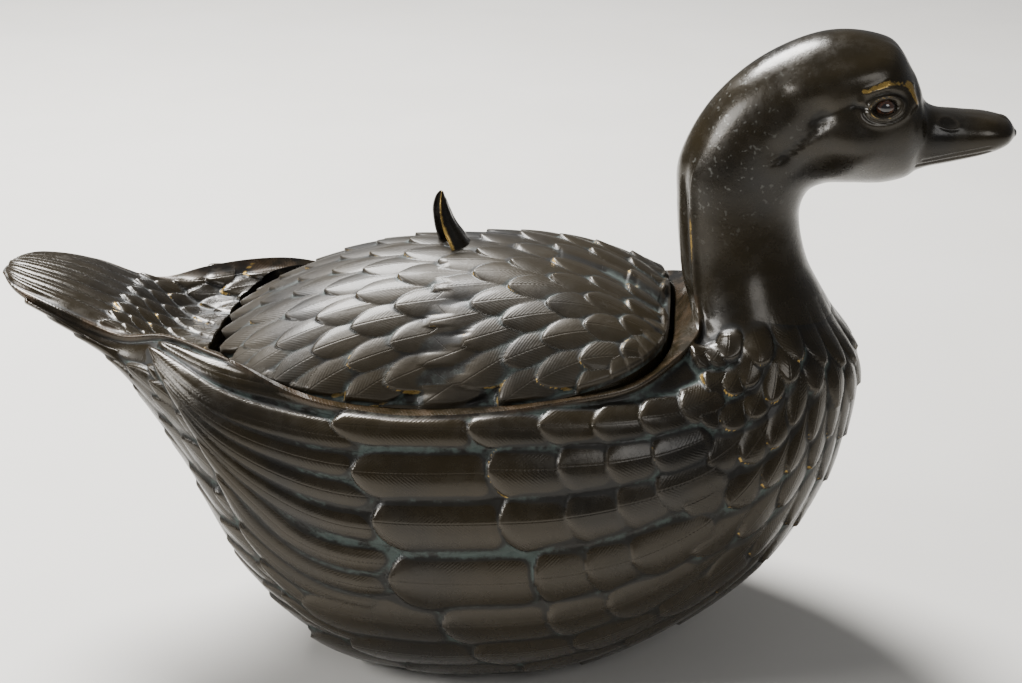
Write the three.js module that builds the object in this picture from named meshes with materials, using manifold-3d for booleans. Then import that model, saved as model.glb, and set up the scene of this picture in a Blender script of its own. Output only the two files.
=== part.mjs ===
// Bronze duck inkwell. A hollow cast duck rests on a flattened belly. Its back is a lift-off lid with a
// curled feather for a handle, and under the lid a brass deck holds two porcelain ink pots.
// Millimetres, +Z up, the bill towards +X, the origin under the middle of the whole duck.
import * as THREE from 'three';
import { LoftGeometry } from 'three/addons/geometries/LoftGeometry.js';
import * as BufferGeometryUtils from 'three/addons/utils/BufferGeometryUtils.js';
import Module from 'manifold-3d';

const wasm = await Module();
wasm.setup();

// Castings
const WALL = 3.2;
const GAP = 0.3; // left between pieces that touch
const FLOOR = 6; // thickness of the bowl's bottom
const NECK_JOINT = 14; // the station where the neck casting stands on the body casting
const JOINT_OVERRUN = 0.5; // how many stations each casting is drawn past the joint before it is cut there
const THROAT_START = 12.6; // the station where the body's hollow narrows into the neck
const HEAD_HOLLOW_END = 20.4;
const BOWL = { start: 4.3, end: 13 }; // the stations between which the body is hollow
const COLLAR = { wall: 2, reach: 0.55, boreReach: 0.7 }; // reaches are in stations either way of the joint

// The mouth in the duck's back and the lid in it are flattened ovals, squarer at the front. rear and front
// are the half lengths either side of x, and rearPower and frontPower are the squareness of each half.
const MOUTH = { x: -11, rear: 55, front: 55, width: 39.4, rearPower: 3, frontPower: 4.2, top: 100 };
const LID = {
  x: -10.3,
  rear: 52.6,
  front: 52.9,
  width: 38.6,
  rearPower: 2.8,
  frontPower: 4.4,
  thickness: 2.8,
};
const LEDGE = { top: 70, thickness: 3.2, overlap: 3.2 };
const LIP = { play: 0.4, width: 2, depth: 3.4, seat: 1 };
const DOME = { crown: 98.4, crownX: 16, fall: 0.0014, power: 2.15, roundness: 1.2 };
const LID_EDGE = { middle: 72.9, rear: 76.5, front: 84 }; // height of the dome's edge
// The handle's half width and half thickness fall from its root to its tip, each by a power of what is left
const HANDLE = {
  x: -6.5,
  rootWidth: 4.6,
  rootThickness: 2.5,
  tip: 0.5,
  widthPower: 0.7,
  thicknessPower: 0.8,
  flatsAlong: 12,
  flatsRound: 14,
  studRadius: 1.5,
  studLength: 7,
  nutRadius: 3.4,
  nutHeight: 2.2,
  nutGap: 1,
};

// The works inside
const DECK = { top: 56, thickness: 2, play: 1 };
const POTS = {
  front: 13,
  rear: -32,
  radius: 17.6,
  flangeRadius: 20.4,
  flange: 2.6,
  depth: 34,
  wall: 2.6,
  rounding: { foot: 3, brim: 0.8 },
  flats: 28,
};
const LUG = { length: 9, inner: 17.5, outer: 60, height: 6 };
const SCREW = { shank: 1, head: 2.1, headHeight: 0.9, bore: 1.3, deckLength: 6.5, footLength: 3.9 };
const DECK_SCREWS = [
  [28, 22],
  [28, -22],
  [-47, 21],
  [-47, -21],
];

// The closed foot: a felt disc and a brass plate in a round recess, over the hole where the core came out
const FOOT = { x: -4, recess: 22, depth: 3.2, coreHole: 15.5 };
const PLATE = { low: 1.4, high: 2.9 };
const FELT = { low: 0.15, high: 1.1, play: 0.6 };
const FOOT_SCREWS = { count: 3, ring: 18.8 };

const EYE = { x: 87.1, y: 11.9, z: 136.9, radius: 2.7, flats: 16 };

// The duck's outline as sections along its flow line, from the tail's tip to the bill's tip. Each section is
// an oval between a keel point and a back point, both [x, z], with a half width at its middle. egg above 0
// widens the keel's end, power is the oval's squareness, and edge is the angle from the keel, in degrees, at
// which the oval turns into its top: the tail's flat, the rim of the mouth, or the crease on the back of the
// neck. bulge is that top's share of the full oval's height, and below 0 the top is hollow.
const STATIONS = [
  { keel: [-117.3, 87.4], back: [-117.3, 89], half: 4, egg: 0, power: 2, edge: 118, bulge: 0.4 },
  { keel: [-112, 84.9], back: [-112, 89.4], half: 12.6, egg: 0, power: 2, edge: 118, bulge: 0.3 },
  { keel: [-100.5, 79.6], back: [-101, 87.3], half: 18.9, egg: 0, power: 2, edge: 121, bulge: 0.2 },
  { keel: [-84, 66.8], back: [-88, 83.6], half: 22.6, egg: -0.05, power: 2, edge: 128, bulge: 0 },
  { keel: [-67, 43.8], back: [-75, 85.2], half: 33.2, egg: -0.1, power: 2.4, edge: 145, bulge: -0.8 },
  { keel: [-53, 17.4], back: [-59.5, 88.5], half: 43.3, egg: -0.05, power: 2.5, edge: 140, bulge: -0.6 },
  { keel: [-36.5, 1], back: [-41, 93.1], half: 47.5, egg: 0.04, power: 2.4, edge: 125, bulge: 0 },
  { keel: [-18, -5.2], back: [-20, 96.2], half: 50, egg: 0.08, power: 2.3, edge: 120, bulge: 0 },
  { keel: [3, -5.4], back: [1, 97.5], half: 50.3, egg: 0.09, power: 2.3, edge: 120, bulge: 0 },
  { keel: [24, -1.6], back: [19, 97], half: 48.8, egg: 0.08, power: 2.3, edge: 123, bulge: 0 },
  { keel: [46.8, 9.6], back: [33, 94.5], half: 45.4, egg: 0.06, power: 2.3, edge: 127, bulge: 0 },
  { keel: [68.3, 26.2], back: [41.5, 91.4], half: 39.6, egg: 0.03, power: 2.2, edge: 137, bulge: 0 },
  { keel: [82, 48.2], back: [45, 89.3], half: 32.7, egg: 0, power: 2.1, edge: 143, bulge: 0.5 },
  { keel: [86, 69.6], back: [45.4, 89.9], half: 25.6, egg: 0, power: 2, edge: 143, bulge: 0.8 },
  { keel: [79.8, 85.6], back: [44.7, 93.1], half: 20, egg: 0, power: 2, edge: 141, bulge: 0.9 },
  { keel: [73.8, 96.9], back: [43.9, 100.2], half: 15.7, egg: 0, power: 2, edge: 138, bulge: 0.95 },
  { keel: [71.2, 107.6], back: [43.2, 111.3], half: 13.6, egg: 0, power: 2, edge: 138, bulge: 1 },
  { keel: [72.6, 113.9], back: [43.6, 121.5], half: 13, egg: 0, power: 2, edge: 140, bulge: 1 },
  { keel: [76.6, 116.3], back: [50.2, 134.3], half: 13, egg: 0, power: 2, edge: 140, bulge: 1 },
  { keel: [82.5, 116.5], back: [61.2, 144.5], half: 13.6, egg: 0, power: 2, edge: 140, bulge: 1 },
  { keel: [88.5, 116.6], back: [75.1, 150.4], half: 14, egg: 0, power: 2, edge: 140, bulge: 1 },
  { keel: [93.4, 117.8], back: [88.2, 149.1], half: 13, egg: 0, power: 2, edge: 140, bulge: 1 },
  { keel: [96.8, 119.7], back: [94.2, 141.8], half: 9.6, egg: 0, power: 2, edge: 140, bulge: 1 },
  { keel: [98.8, 120.7], back: [98, 134.6], half: 7.7, egg: 0, power: 2.2, edge: 140, bulge: 1 },
  { keel: [104, 121.9], back: [104.6, 133.4], half: 7.1, egg: 0, power: 2.2, edge: 140, bulge: 1 },
  { keel: [111, 123.9], back: [111, 132.9], half: 6.9, egg: 0, power: 2.2, edge: 140, bulge: 1 },
  { keel: [115.2, 125.6], back: [115.4, 131.8], half: 5.2, egg: 0, power: 2, edge: 140, bulge: 1 },
  { keel: [117.3, 127.6], back: [117.4, 129.3], half: 1.4, egg: 0, power: 2, edge: 140, bulge: 1 },
];
const BILL_TIP = STATIONS.length - 1;
const HOLLOW_DEPTH = 11; // how deep a top with bulge -1 sinks
const HOLLOW_POWER = 4; // how flat the hollow's bottom is
const FAR = 400; // larger than the duck, for blocks that cut right through it
const PAST = 1; // how far a cut runs on past the surface it opens

// How many flats make up the curves
const BODY_FLATS = { along: 36, side: 26, top: 6 };
const HEAD_FLATS = { along: 36, side: 20, top: 4 };
const HOLLOW_FLATS = { along: 16, side: 18, top: 4 };
const THROAT_FLATS = { along: 5, side: 18, top: 4 };
const SKULL_FLATS = { along: 12, side: 14, top: 4 };
const COLLAR_FLATS = { along: 3, side: 18, top: 4 };
const OVAL_FLATS = 36;
const DISC_FLATS = 32;
const SCREW_FLATS = { bore: 8, head: 12 };

const duck = new THREE.Group();
duck.name = 'duck_inkwell';

const bronze = new THREE.MeshStandardMaterial({ color: 0x3a3127, roughness: 0.42, metalness: 0.9 });
const brass = new THREE.MeshStandardMaterial({ color: 0xa9843f, roughness: 0.38, metalness: 1 });
const porcelain = new THREE.MeshStandardMaterial({ color: 0xe9e6da, roughness: 0.2, metalness: 0 });
const felt = new THREE.MeshStandardMaterial({ color: 0x2c4a34, roughness: 1, metalness: 0 });
const glassEye = new THREE.MeshStandardMaterial({ color: 0x1c120b, roughness: 0.1, metalness: 0.3 });

const steps = (from, to, count) =>
  Array.from({ length: count + 1 }, (_, i) => from + ((to - from) * i) / count);
const signedPower = (value, power) => Math.sign(value) * Math.abs(value) ** power;

// ---- Solids -----------------------------------------------------------------------------------------

function solidOf(geometry, matrix = new THREE.Matrix4()) {
  const bare = new THREE.BufferGeometry().copy(geometry).applyMatrix4(matrix);
  bare.deleteAttribute('normal');
  bare.deleteAttribute('uv');
  const merged = BufferGeometryUtils.mergeVertices(bare, 1e-4);
  return new wasm.Manifold(
    new wasm.Mesh({
      numProp: 3,
      vertProperties: merged.attributes.position.array,
      triVerts: new Uint32Array(merged.index.array),
    }),
  );
}

function geometryOf(solid) {
  const mesh = solid.getMesh();
  const geometry = new THREE.BufferGeometry();
  geometry.setAttribute('position', new THREE.BufferAttribute(mesh.vertProperties, 3));
  geometry.setIndex(new THREE.BufferAttribute(mesh.triVerts, 1));
  geometry.computeVertexNormals();
  return geometry;
}

const at = (x, y, z) => new THREE.Matrix4().makeTranslation(x, y, z);
const loft = (sections) => solidOf(new LoftGeometry(sections, { capStart: true, capEnd: true }));

// A block as long and wide as wanted, between two heights
const slab = (low, high) => solidOf(new THREE.BoxGeometry(FAR, FAR, high - low), at(0, 0, (low + high) / 2));

function post(radius, low, high, x = 0, y = 0, sides = 16) {
  const upright = at(x, y, (low + high) / 2).multiply(new THREE.Matrix4().makeRotationX(Math.PI / 2));
  return solidOf(new THREE.CylinderGeometry(radius, radius, high - low, sides), upright);
}

// A turned solid about the Z axis from its half profile of [radius, height] points
const turned = (profile, sides) =>
  solidOf(
    new THREE.LatheGeometry(profile.map(([r, z]) => new THREE.Vector2(r, z)), sides),
    new THREE.Matrix4().makeRotationX(Math.PI / 2),
  );

function add(name, solid, material, x = 0, y = 0, z = 0) {
  const mesh = new THREE.Mesh(geometryOf(solid), material);
  mesh.name = name;
  mesh.position.set(x, y, z);
  duck.add(mesh);
}

// ---- The duck's form --------------------------------------------------------------------------------

// A smooth curve through three values of every station
const throughStations = (values) =>
  new THREE.CatmullRomCurve3(
    STATIONS.map((station) => new THREE.Vector3(...values(station))),
    false,
    'catmullrom',
    0.5,
  );
const keelCurve = throughStations((s) => [...s.keel, s.half]);
const backCurve = throughStations((s) => [...s.back, s.egg]);
const formCurve = throughStations((s) => [s.power, s.edge, s.bulge]);

// The oval at a station, with its wall set in by inset
function ovalAt(station, inset = 0) {
  const t = station / BILL_TIP;
  const keel = keelCurve.getPoint(t);
  const back = backCurve.getPoint(t);
  const form = formCurve.getPoint(t);
  const axis = new THREE.Vector2(keel.x - back.x, keel.y - back.y).multiplyScalar(0.5);
  return {
    middle: new THREE.Vector2((keel.x + back.x) / 2, (keel.y + back.y) / 2),
    axis: axis.multiplyScalar(1 - inset / axis.length()),
    half: keel.z - inset,
    egg: back.z,
    power: form.x,
    edge: THREE.MathUtils.degToRad(form.y),
    bulge: form.z,
  };
}

// The point of an oval at an angle from its keel
function ovalPoint(oval, angle) {
  const along = signedPower(Math.cos(angle), 2 / oval.power);
  const across = signedPower(Math.sin(angle), 2 / oval.power);
  return new THREE.Vector3(
    oval.middle.x + oval.axis.x * along,
    oval.half * across * (1 + oval.egg * Math.cos(angle)),
    oval.middle.y + oval.axis.y * along,
  );
}

// A section's closed outline: round the keel from edge to edge, then back across its top
function outline(oval, sideSteps, topSteps) {
  const points = steps(-oval.edge, oval.edge, sideSteps).map((angle) => ovalPoint(oval, angle));
  const left = points[sideSteps];
  const right = points[0];
  for (let i = 1; i < topSteps; i++) {
    const t = i / topSteps;
    const full = ovalPoint(oval, oval.edge + (Math.PI - oval.edge) * 2 * t);
    const top = left.clone().lerp(right, t).lerp(full, Math.max(oval.bulge, 0));
    top.z += Math.min(oval.bulge, 0) * HOLLOW_DEPTH * (1 - Math.abs(2 * t - 1) ** HOLLOW_POWER);
    points.push(top);
  }
  return points;
}

const form = (from, to, inset, flats) =>
  loft(steps(from, to, flats.along).map((station) => outline(ovalAt(station, inset), flats.side, flats.top)));

// Everything on one side of the neck joint's sloping plane: side 1 is the head's, -1 the body's
function beyondNeckJoint(side, gap) {
  const oval = ovalAt(NECK_JOINT);
  const tilt = new THREE.Matrix4().makeRotationY(Math.atan2(-oval.axis.y, oval.axis.x));
  const block = at(oval.middle.x, 0, oval.middle.y).multiply(tilt).multiply(at(0, 0, side * (FAR / 2 + gap)));
  return solidOf(new THREE.BoxGeometry(FAR, FAR, FAR), block);
}

// A ring of a flattened oval at a share of its size and grown by an amount, at one height or one per point
function ring(shape, share, grow, height) {
  return steps(0, 2 * Math.PI, OVAL_FLATS).slice(0, -1).map((angle) => {
    const front = Math.cos(angle) > 0;
    const power = 2 / (front ? shape.frontPower : shape.rearPower);
    const c = signedPower(Math.cos(angle), power);
    const s = signedPower(Math.sin(angle), power);
    const x = shape.x + ((front ? shape.front : shape.rear) + grow) * share * c;
    const z = typeof height === 'function' ? height(x, c) : height;
    return new THREE.Vector3(x, (shape.width + grow) * share * s, z);
  });
}

const prism = (shape, grow, low, high) => loft([ring(shape, 1, grow, low), ring(shape, 1, grow, high)]);

// The dome's height at a share of the way from its middle to its edge
function domeHeight(x, c, share) {
  const end = c < 0 ? LID_EDGE.rear : LID_EDGE.front;
  const edge = LID_EDGE.middle + (end - LID_EDGE.middle) * c * c;
  const crown = DOME.crown - DOME.fall * (x - DOME.crownX) ** 2;
  return edge + (crown - edge) * (1 - share ** DOME.power) ** (1 / DOME.roundness);
}

// ---- Castings ---------------------------------------------------------------------------------------

const ledgeHole = -LEDGE.overlap; // the ledge's opening, as growth of the lid's oval
const footScrewPlaces = steps(0, 2 * Math.PI, FOOT_SCREWS.count).slice(0, -1).map((angle) => [
  FOOT.x + FOOT_SCREWS.ring * Math.cos(angle),
  FOOT_SCREWS.ring * Math.sin(angle),
]);

// The hollow of the body, up to the ledge, and on into the neck
function bodyHollow() {
  const bowl = form(BOWL.start, BOWL.end, WALL, HOLLOW_FLATS);
  const throat = form(THROAT_START, NECK_JOINT + JOINT_OVERRUN, WALL, THROAT_FLATS);
  return bowl.intersect(slab(FLOOR, LEDGE.top - LEDGE.thickness)).add(throat);
}

// The lugs reach in from the walls under the deck, one for each screw
function deckLugs(outside) {
  const top = DECK.top - DECK.thickness - GAP;
  const lugs = DECK_SCREWS.map(([x, y]) => {
    const place = at(x, (Math.sign(y) * (LUG.inner + LUG.outer)) / 2, top - LUG.height / 2);
    return solidOf(new THREE.BoxGeometry(LUG.length, LUG.outer - LUG.inner, LUG.height), place);
  });
  return lugs.map((lug) => lug.intersect(outside));
}

// Breast, sides, wings, tail and bowl
function bodyCasting() {
  const outside = form(0, NECK_JOINT + JOINT_OVERRUN, 0, BODY_FLATS)
    .subtract(beyondNeckJoint(1, -GAP / 2))
    .subtract(slab(-FAR, 0));
  let shell = outside.subtract(bodyHollow());
  for (const lug of deckLugs(outside)) {
    shell = shell.add(lug);
  }
  shell = shell.subtract(prism(MOUTH, 0, LEDGE.top, MOUTH.top));
  shell = shell.subtract(prism(LID, ledgeHole, LEDGE.top - LEDGE.thickness - PAST, MOUTH.top));
  shell = shell.subtract(post(FOOT.recess, -PAST, FOOT.depth, FOOT.x, 0, DISC_FLATS));
  shell = shell.subtract(post(FOOT.coreHole, -PAST, FLOOR + PAST, FOOT.x, 0, DISC_FLATS));
  for (const [x, y] of footScrewPlaces) {
    shell = shell.subtract(post(SCREW.bore, 0, PLATE.low + SCREW.footLength, x, y, SCREW_FLATS.bore));
  }
  for (const [x, y] of DECK_SCREWS) {
    shell = shell.subtract(post(SCREW.bore, DECK.top - SCREW.deckLength, DECK.top, x, y, SCREW_FLATS.bore));
  }
  return shell;
}

// Neck, head and bill, hollow from the joint up into the head
function neckAndHead() {
  const start = NECK_JOINT - JOINT_OVERRUN;
  const outside = form(start, BILL_TIP, 0, HEAD_FLATS).subtract(beyondNeckJoint(-1, -GAP / 2));
  let head = outside.subtract(form(start, HEAD_HOLLOW_END, WALL, SKULL_FLATS));
  for (const side of [-1, 1]) {
    head = head.subtract(eyeball(EYE.radius + GAP, side));
  }
  return head;
}

// A sleeve inside both castings that keeps them in line
function neckCollar() {
  const sleeve = (reach, inset) => form(NECK_JOINT - reach, NECK_JOINT + reach, inset, COLLAR_FLATS);
  return sleeve(COLLAR.reach, WALL + GAP).subtract(sleeve(COLLAR.boreReach, WALL + COLLAR.wall));
}

const eyeball = (radius, side) =>
  solidOf(new THREE.SphereGeometry(radius, EYE.flats, EYE.flats / 2), at(EYE.x, side * EYE.y, EYE.z));

// ---- The lid ----------------------------------------------------------------------------------------

// Shares of the way out at which the dome's rings lie, closer together where it curves down to its edge
const lidShares = [0.12, 0.38, 0.6, 0.78, 0.9, 0.97, 1];

// The dome as a solid from a height up, inset all over by the casting's thickness or not at all
function dome(inset, low) {
  const rings = lidShares.map((share) => ring(LID, share, -inset, (x, c) => domeHeight(x, c, share) - inset));
  return loft([ring(LID, 1, -inset, low), ...rings.reverse()]);
}

function lidCasting() {
  const low = LEDGE.top + GAP;
  const lipOutside = ledgeHole - LIP.play;
  const throughHole = prism(LID, lipOutside - LIP.width, low - LIP.depth - PAST, low + LIP.seat + PAST);
  const lip = prism(LID, lipOutside, low - LIP.depth, low + LIP.seat).subtract(throughHole);
  const seat = prism(LID, 0, low, low + LIP.seat).subtract(throughHole);
  const skin = dome(0, low).subtract(dome(LID.thickness, low - PAST));
  return skin.add(seat).add(lip).subtract(post(HANDLE.studRadius + GAP, 0, FAR, HANDLE.x));
}

const handleShare = (HANDLE.x - LID.x) / LID.front;
const crownAtHandle = domeHeight(HANDLE.x, 1, handleShare);

// A feather curling up and back, over a stud that passes through the lid
function curledFeather() {
  const spine = new THREE.CatmullRomCurve3([
    new THREE.Vector3(1.9, 0, -3.4),
    new THREE.Vector3(-1.4, 0, 0),
    new THREE.Vector3(-3.7, 0, 3.8),
    new THREE.Vector3(-4.8, 0, 7.3),
    new THREE.Vector3(-5.1, 0, 10.5),
    new THREE.Vector3(-4.8, 0, 13.4),
  ]);
  const taper = (root, t, power) => HANDLE.tip + (root - HANDLE.tip) * (1 - t) ** power;
  const sections = steps(0, 1, HANDLE.flatsAlong).map((t) => {
    const point = spine.getPoint(t);
    const along = spine.getTangent(t);
    return steps(0, 2 * Math.PI, HANDLE.flatsRound).slice(0, -1).map((angle) => {
      const across = taper(HANDLE.rootThickness, t, HANDLE.thicknessPower) * Math.cos(angle);
      return new THREE.Vector3(
        HANDLE.x + point.x + along.z * across,
        taper(HANDLE.rootWidth, t, HANDLE.widthPower) * Math.sin(angle),
        crownAtHandle + point.z - along.x * across,
      );
    });
  });
  const stud = post(HANDLE.studRadius, crownAtHandle - HANDLE.studLength, crownAtHandle + PAST, HANDLE.x);
  const seat = dome(-GAP, LEDGE.top).subtract(post(HANDLE.studRadius + GAP / 2, 0, FAR, HANDLE.x));
  return loft(sections).add(stud).subtract(seat);
}

function finialNut() {
  const high = crownAtHandle - LID.thickness - HANDLE.nutGap;
  const nut = post(HANDLE.nutRadius, high - HANDLE.nutHeight, high, HANDLE.x, 0, 6);
  return nut.subtract(post(HANDLE.studRadius + GAP, 0, FAR, HANDLE.x));
}

// ---- The works inside -------------------------------------------------------------------------------

function wellDeck() {
  const low = DECK.top - DECK.thickness;
  let deck = prism(LID, ledgeHole - DECK.play, low, DECK.top);
  for (const x of [POTS.front, POTS.rear]) {
    deck = deck.subtract(post(POTS.radius + GAP, low - PAST, DECK.top + PAST, x, 0, DISC_FLATS));
  }
  for (const [x, y] of DECK_SCREWS) {
    deck = deck.subtract(post(SCREW.bore, low - PAST, DECK.top + PAST, x, y, SCREW_FLATS.bore));
  }
  return deck;
}

// An open pot that hangs by its flange, drawn with the flange's underside at height 0
function inkPot() {
  const inside = POTS.radius - POTS.wall;
  const { foot, brim } = POTS.rounding;
  const corner = foot * (1 - Math.SQRT1_2);
  return turned(
    [
      [0, -POTS.depth],
      [POTS.radius - foot, -POTS.depth],
      [POTS.radius - corner, -POTS.depth + corner],
      [POTS.radius, -POTS.depth + foot],
      [POTS.radius, 0],
      [POTS.flangeRadius, 0],
      [POTS.flangeRadius, POTS.flange - brim],
      [POTS.flangeRadius - brim, POTS.flange],
      [inside + brim, POTS.flange],
      [inside, POTS.flange - brim],
      [inside, -POTS.depth + POTS.wall + foot],
      [inside - foot, -POTS.depth + POTS.wall],
      [0, -POTS.depth + POTS.wall],
    ],
    POTS.flats,
  );
}

// A screw with its head's underside at height 0 and its shank pointing down
const screw = (length) =>
  post(SCREW.shank, -length, SCREW.headHeight / 2, 0, 0, SCREW_FLATS.bore).add(
    post(SCREW.head, 0, SCREW.headHeight, 0, 0, SCREW_FLATS.head),
  );

const upsideDown = (solid) => solid.rotate([180, 0, 0]);

// ---- The foot ---------------------------------------------------------------------------------------

function basePlate() {
  let plate = post(FOOT.recess - GAP, PLATE.low, PLATE.high, FOOT.x, 0, DISC_FLATS);
  for (const [x, y] of footScrewPlaces) {
    plate = plate.subtract(post(SCREW.bore, 0, PLATE.high + PAST, x, y, SCREW_FLATS.bore));
  }
  return plate;
}

function baseFelt() {
  let pad = post(FOOT.recess - FELT.play, FELT.low, FELT.high, FOOT.x, 0, DISC_FLATS);
  for (const [x, y] of footScrewPlaces) {
    pad = pad.subtract(post(SCREW.head + GAP, -PAST, FELT.high + PAST, x, y, SCREW_FLATS.head));
  }
  return pad;
}

// ---- Assembly ---------------------------------------------------------------------------------------

add('body_casting', bodyCasting(), bronze);
add('neck_and_head', neckAndHead(), bronze);
add('neck_collar', neckCollar(), brass);
add('right_eye', eyeball(EYE.radius, -1), glassEye);
add('left_eye', eyeball(EYE.radius, 1), glassEye);
add('lid', lidCasting(), bronze);
add('lid_finial', curledFeather(), bronze);
add('finial_nut', finialNut(), brass);
add('well_deck', wellDeck(), brass);
add('front_ink_pot', inkPot(), porcelain, POTS.front, 0, DECK.top + GAP);
add('rear_ink_pot', inkPot(), porcelain, POTS.rear, 0, DECK.top + GAP);
DECK_SCREWS.forEach(([x, y], i) => {
  add(`deck_screw_${i + 1}`, screw(SCREW.deckLength), brass, x, y, DECK.top + GAP);
});
add('base_plate', basePlate(), brass);
footScrewPlaces.forEach(([x, y], i) => {
  add(`base_screw_${i + 1}`, upsideDown(screw(SCREW.footLength)), brass, x, y, PLATE.low - GAP);
});
add('base_felt', baseFelt(), felt);

export default duck;
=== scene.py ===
"""The looks of the bronze duck inkwell: feathered castings, chased head, curled handle, pots and foot."""

import math

import bpy
import numpy as np
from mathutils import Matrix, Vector


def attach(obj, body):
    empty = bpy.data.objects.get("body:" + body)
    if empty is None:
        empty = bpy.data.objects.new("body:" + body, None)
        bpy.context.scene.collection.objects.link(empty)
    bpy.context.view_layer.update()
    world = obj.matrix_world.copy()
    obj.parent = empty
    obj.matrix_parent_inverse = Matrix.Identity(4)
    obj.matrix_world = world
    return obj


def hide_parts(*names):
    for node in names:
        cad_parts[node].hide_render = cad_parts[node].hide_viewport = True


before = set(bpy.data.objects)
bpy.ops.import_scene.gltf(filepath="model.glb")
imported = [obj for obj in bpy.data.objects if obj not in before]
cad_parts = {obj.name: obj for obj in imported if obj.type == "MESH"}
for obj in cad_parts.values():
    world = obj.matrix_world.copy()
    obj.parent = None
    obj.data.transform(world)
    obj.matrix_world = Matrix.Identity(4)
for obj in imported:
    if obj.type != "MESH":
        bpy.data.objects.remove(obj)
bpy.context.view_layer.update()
rng = np.random.default_rng(7)
MM = 0.001

# ---- Driving dimensions, in millimetres and degrees --------------------------------------------------

# The duck's outline as sections along its flow line, from tail to bill: keel x, z, back x, z, half width,
# egg, squareness, the angle from the keel at which the oval turns into its top, and that top's bulge.
STATIONS = np.array(
    [
        (-117.3, 87.4, -117.3, 89, 4, 0, 2, 118, 0.4),
        (-112, 84.9, -112, 89.4, 12.6, 0, 2, 118, 0.3),
        (-100.5, 79.6, -101, 87.3, 18.9, 0, 2, 121, 0.2),
        (-84, 66.8, -88, 83.6, 22.6, -0.05, 2, 128, 0),
        (-67, 43.8, -75, 85.2, 33.2, -0.1, 2.4, 145, -0.8),
        (-53, 17.4, -59.5, 88.5, 43.3, -0.05, 2.5, 140, -0.6),
        (-36.5, 1, -41, 93.1, 47.5, 0.04, 2.4, 125, 0),
        (-18, -5.2, -20, 96.2, 50, 0.08, 2.3, 120, 0),
        (3, -5.4, 1, 97.5, 50.3, 0.09, 2.3, 120, 0),
        (24, -1.6, 19, 97, 48.8, 0.08, 2.3, 123, 0),
        (46.8, 9.6, 33, 94.5, 45.4, 0.06, 2.3, 127, 0),
        (68.3, 26.2, 41.5, 91.4, 39.6, 0.03, 2.2, 137, 0),
        (82, 48.2, 45, 89.3, 32.7, 0, 2.1, 143, 0.5),
        (86, 69.6, 45.4, 89.9, 25.6, 0, 2, 143, 0.8),
        (79.8, 85.6, 44.7, 93.1, 20, 0, 2, 141, 0.9),
        (73.8, 96.9, 43.9, 100.2, 15.7, 0, 2, 138, 0.95),
        (71.2, 107.6, 43.2, 111.3, 13.6, 0, 2, 138, 1),
        (72.6, 113.9, 43.6, 121.5, 13, 0, 2, 140, 1),
        (76.6, 116.3, 50.2, 134.3, 13, 0, 2, 140, 1),
        (82.5, 116.5, 61.2, 144.5, 13.6, 0, 2, 140, 1),
        (88.5, 116.6, 75.1, 150.4, 14, 0, 2, 140, 1),
        (93.4, 117.8, 88.2, 149.1, 13, 0, 2, 140, 1),
        (96.8, 119.7, 94.2, 141.8, 9.6, 0, 2, 140, 1),
        (98.8, 120.7, 98, 134.6, 7.7, 0, 2.2, 140, 1),
        (104, 121.9, 104.6, 133.4, 7.1, 0, 2.2, 140, 1),
        (111, 123.9, 111, 132.9, 6.9, 0, 2.2, 140, 1),
        (115.2, 125.6, 115.4, 131.8, 5.2, 0, 2, 140, 1),
        (117.3, 127.6, 117.4, 129.3, 1.4, 0, 2, 140, 1),
    ]
)
HOLLOW_DEPTH = 11  # how deep a top with bulge -1 sinks
HOLLOW_POWER = 4  # how flat the hollow's bottom is
TAIL_END = 4.45  # the stations where the mouth's rim takes over from the tail's top and ends at the neck
NECK_BACK = 12.3
NECK_JOINT = 14  # the station where the neck casting stands on the body casting
BILL_TIP = len(STATIONS) - 1
CURVE_SAMPLES = 3000  # points along a curve that is measured or looked up

WALL = 3.2
BOWL_POWER = 2.1  # squareness of the bowl's inside
BOWL_DIRT = 0.35  # how dirty the bowl's inside is below a height
BOWL_DIRT_TOP = 64
# The mouth and the lid are flattened ovals: half lengths behind and ahead of x, half width, and squareness
MOUTH = {"x": -11, "rear": 55, "front": 55, "width": 39.4, "rear_power": 3, "front_power": 4.2}
LID = {"x": -10.3, "rear": 52.6, "front": 52.9, "width": 38.6, "rear_power": 2.8, "front_power": 4.4}
LID_THICKNESS = 2.8
LEDGE = {"top": 70, "thickness": 3.2, "overlap": 3.2}
LIP = {"play": 0.4, "width": 2, "depth": 3.4}
DOME = {"crown": 98.4, "crown_x": 16, "fall": 0.0014, "power": 2.15, "roundness": 1.2}
LID_EDGE = {"middle": 72.9, "rear": 76.5, "front": 84}
HANDLE_X = -6.5
FOOT = {"x": -4, "recess": 22, "depth": 3.2, "core_hole": 15.5, "floor": 6}
EYE = {"x": 87.1, "y": 11.9, "z": 136.9, "ball": (2.72, 2.35, 2.1), "lid": (2.75, 1.75), "slant": 0.08}
RELIEF_FLOOR = 1.3  # how far the bed between feathers lies inside the casting's form
HANDLE = {"crown": 97.7, "stud_radius": 1.5, "stud_length": 7, "nut_radius": 3.4, "nut_height": 2.2}
DECK = {"top": 56, "thickness": 2, "play": 1}
POTS = {"front": 13, "rear": -32, "radius": 17.6, "depth": 34, "wall": 2.6}
FLANGE = {"radius": 20.4, "thickness": 2.6}
GAP = 0.3
SCREW = {"shank": 1, "head": 2.1, "head_height": 0.9, "bore": 1.3, "deck_length": 6.5, "foot_length": 3.9}
DECK_SCREWS = ((28, 22), (28, -22), (-47, 21), (-47, -21))
# The lugs under the deck are squared ovals: half width, height, and how far out they start and end
LUG = {"width": 4.5, "height": 6, "inner": 17.6, "front_outer": 41.0, "rear_outer": 33.5}
PLATE = {"low": 1.4, "high": 2.9}
FELT = {"low": 0.15, "high": 1.1, "play": 0.6}
FOOT_SCREW_RING = 18.8

# ---- The duck's form ---------------------------------------------------------------------------------


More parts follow.
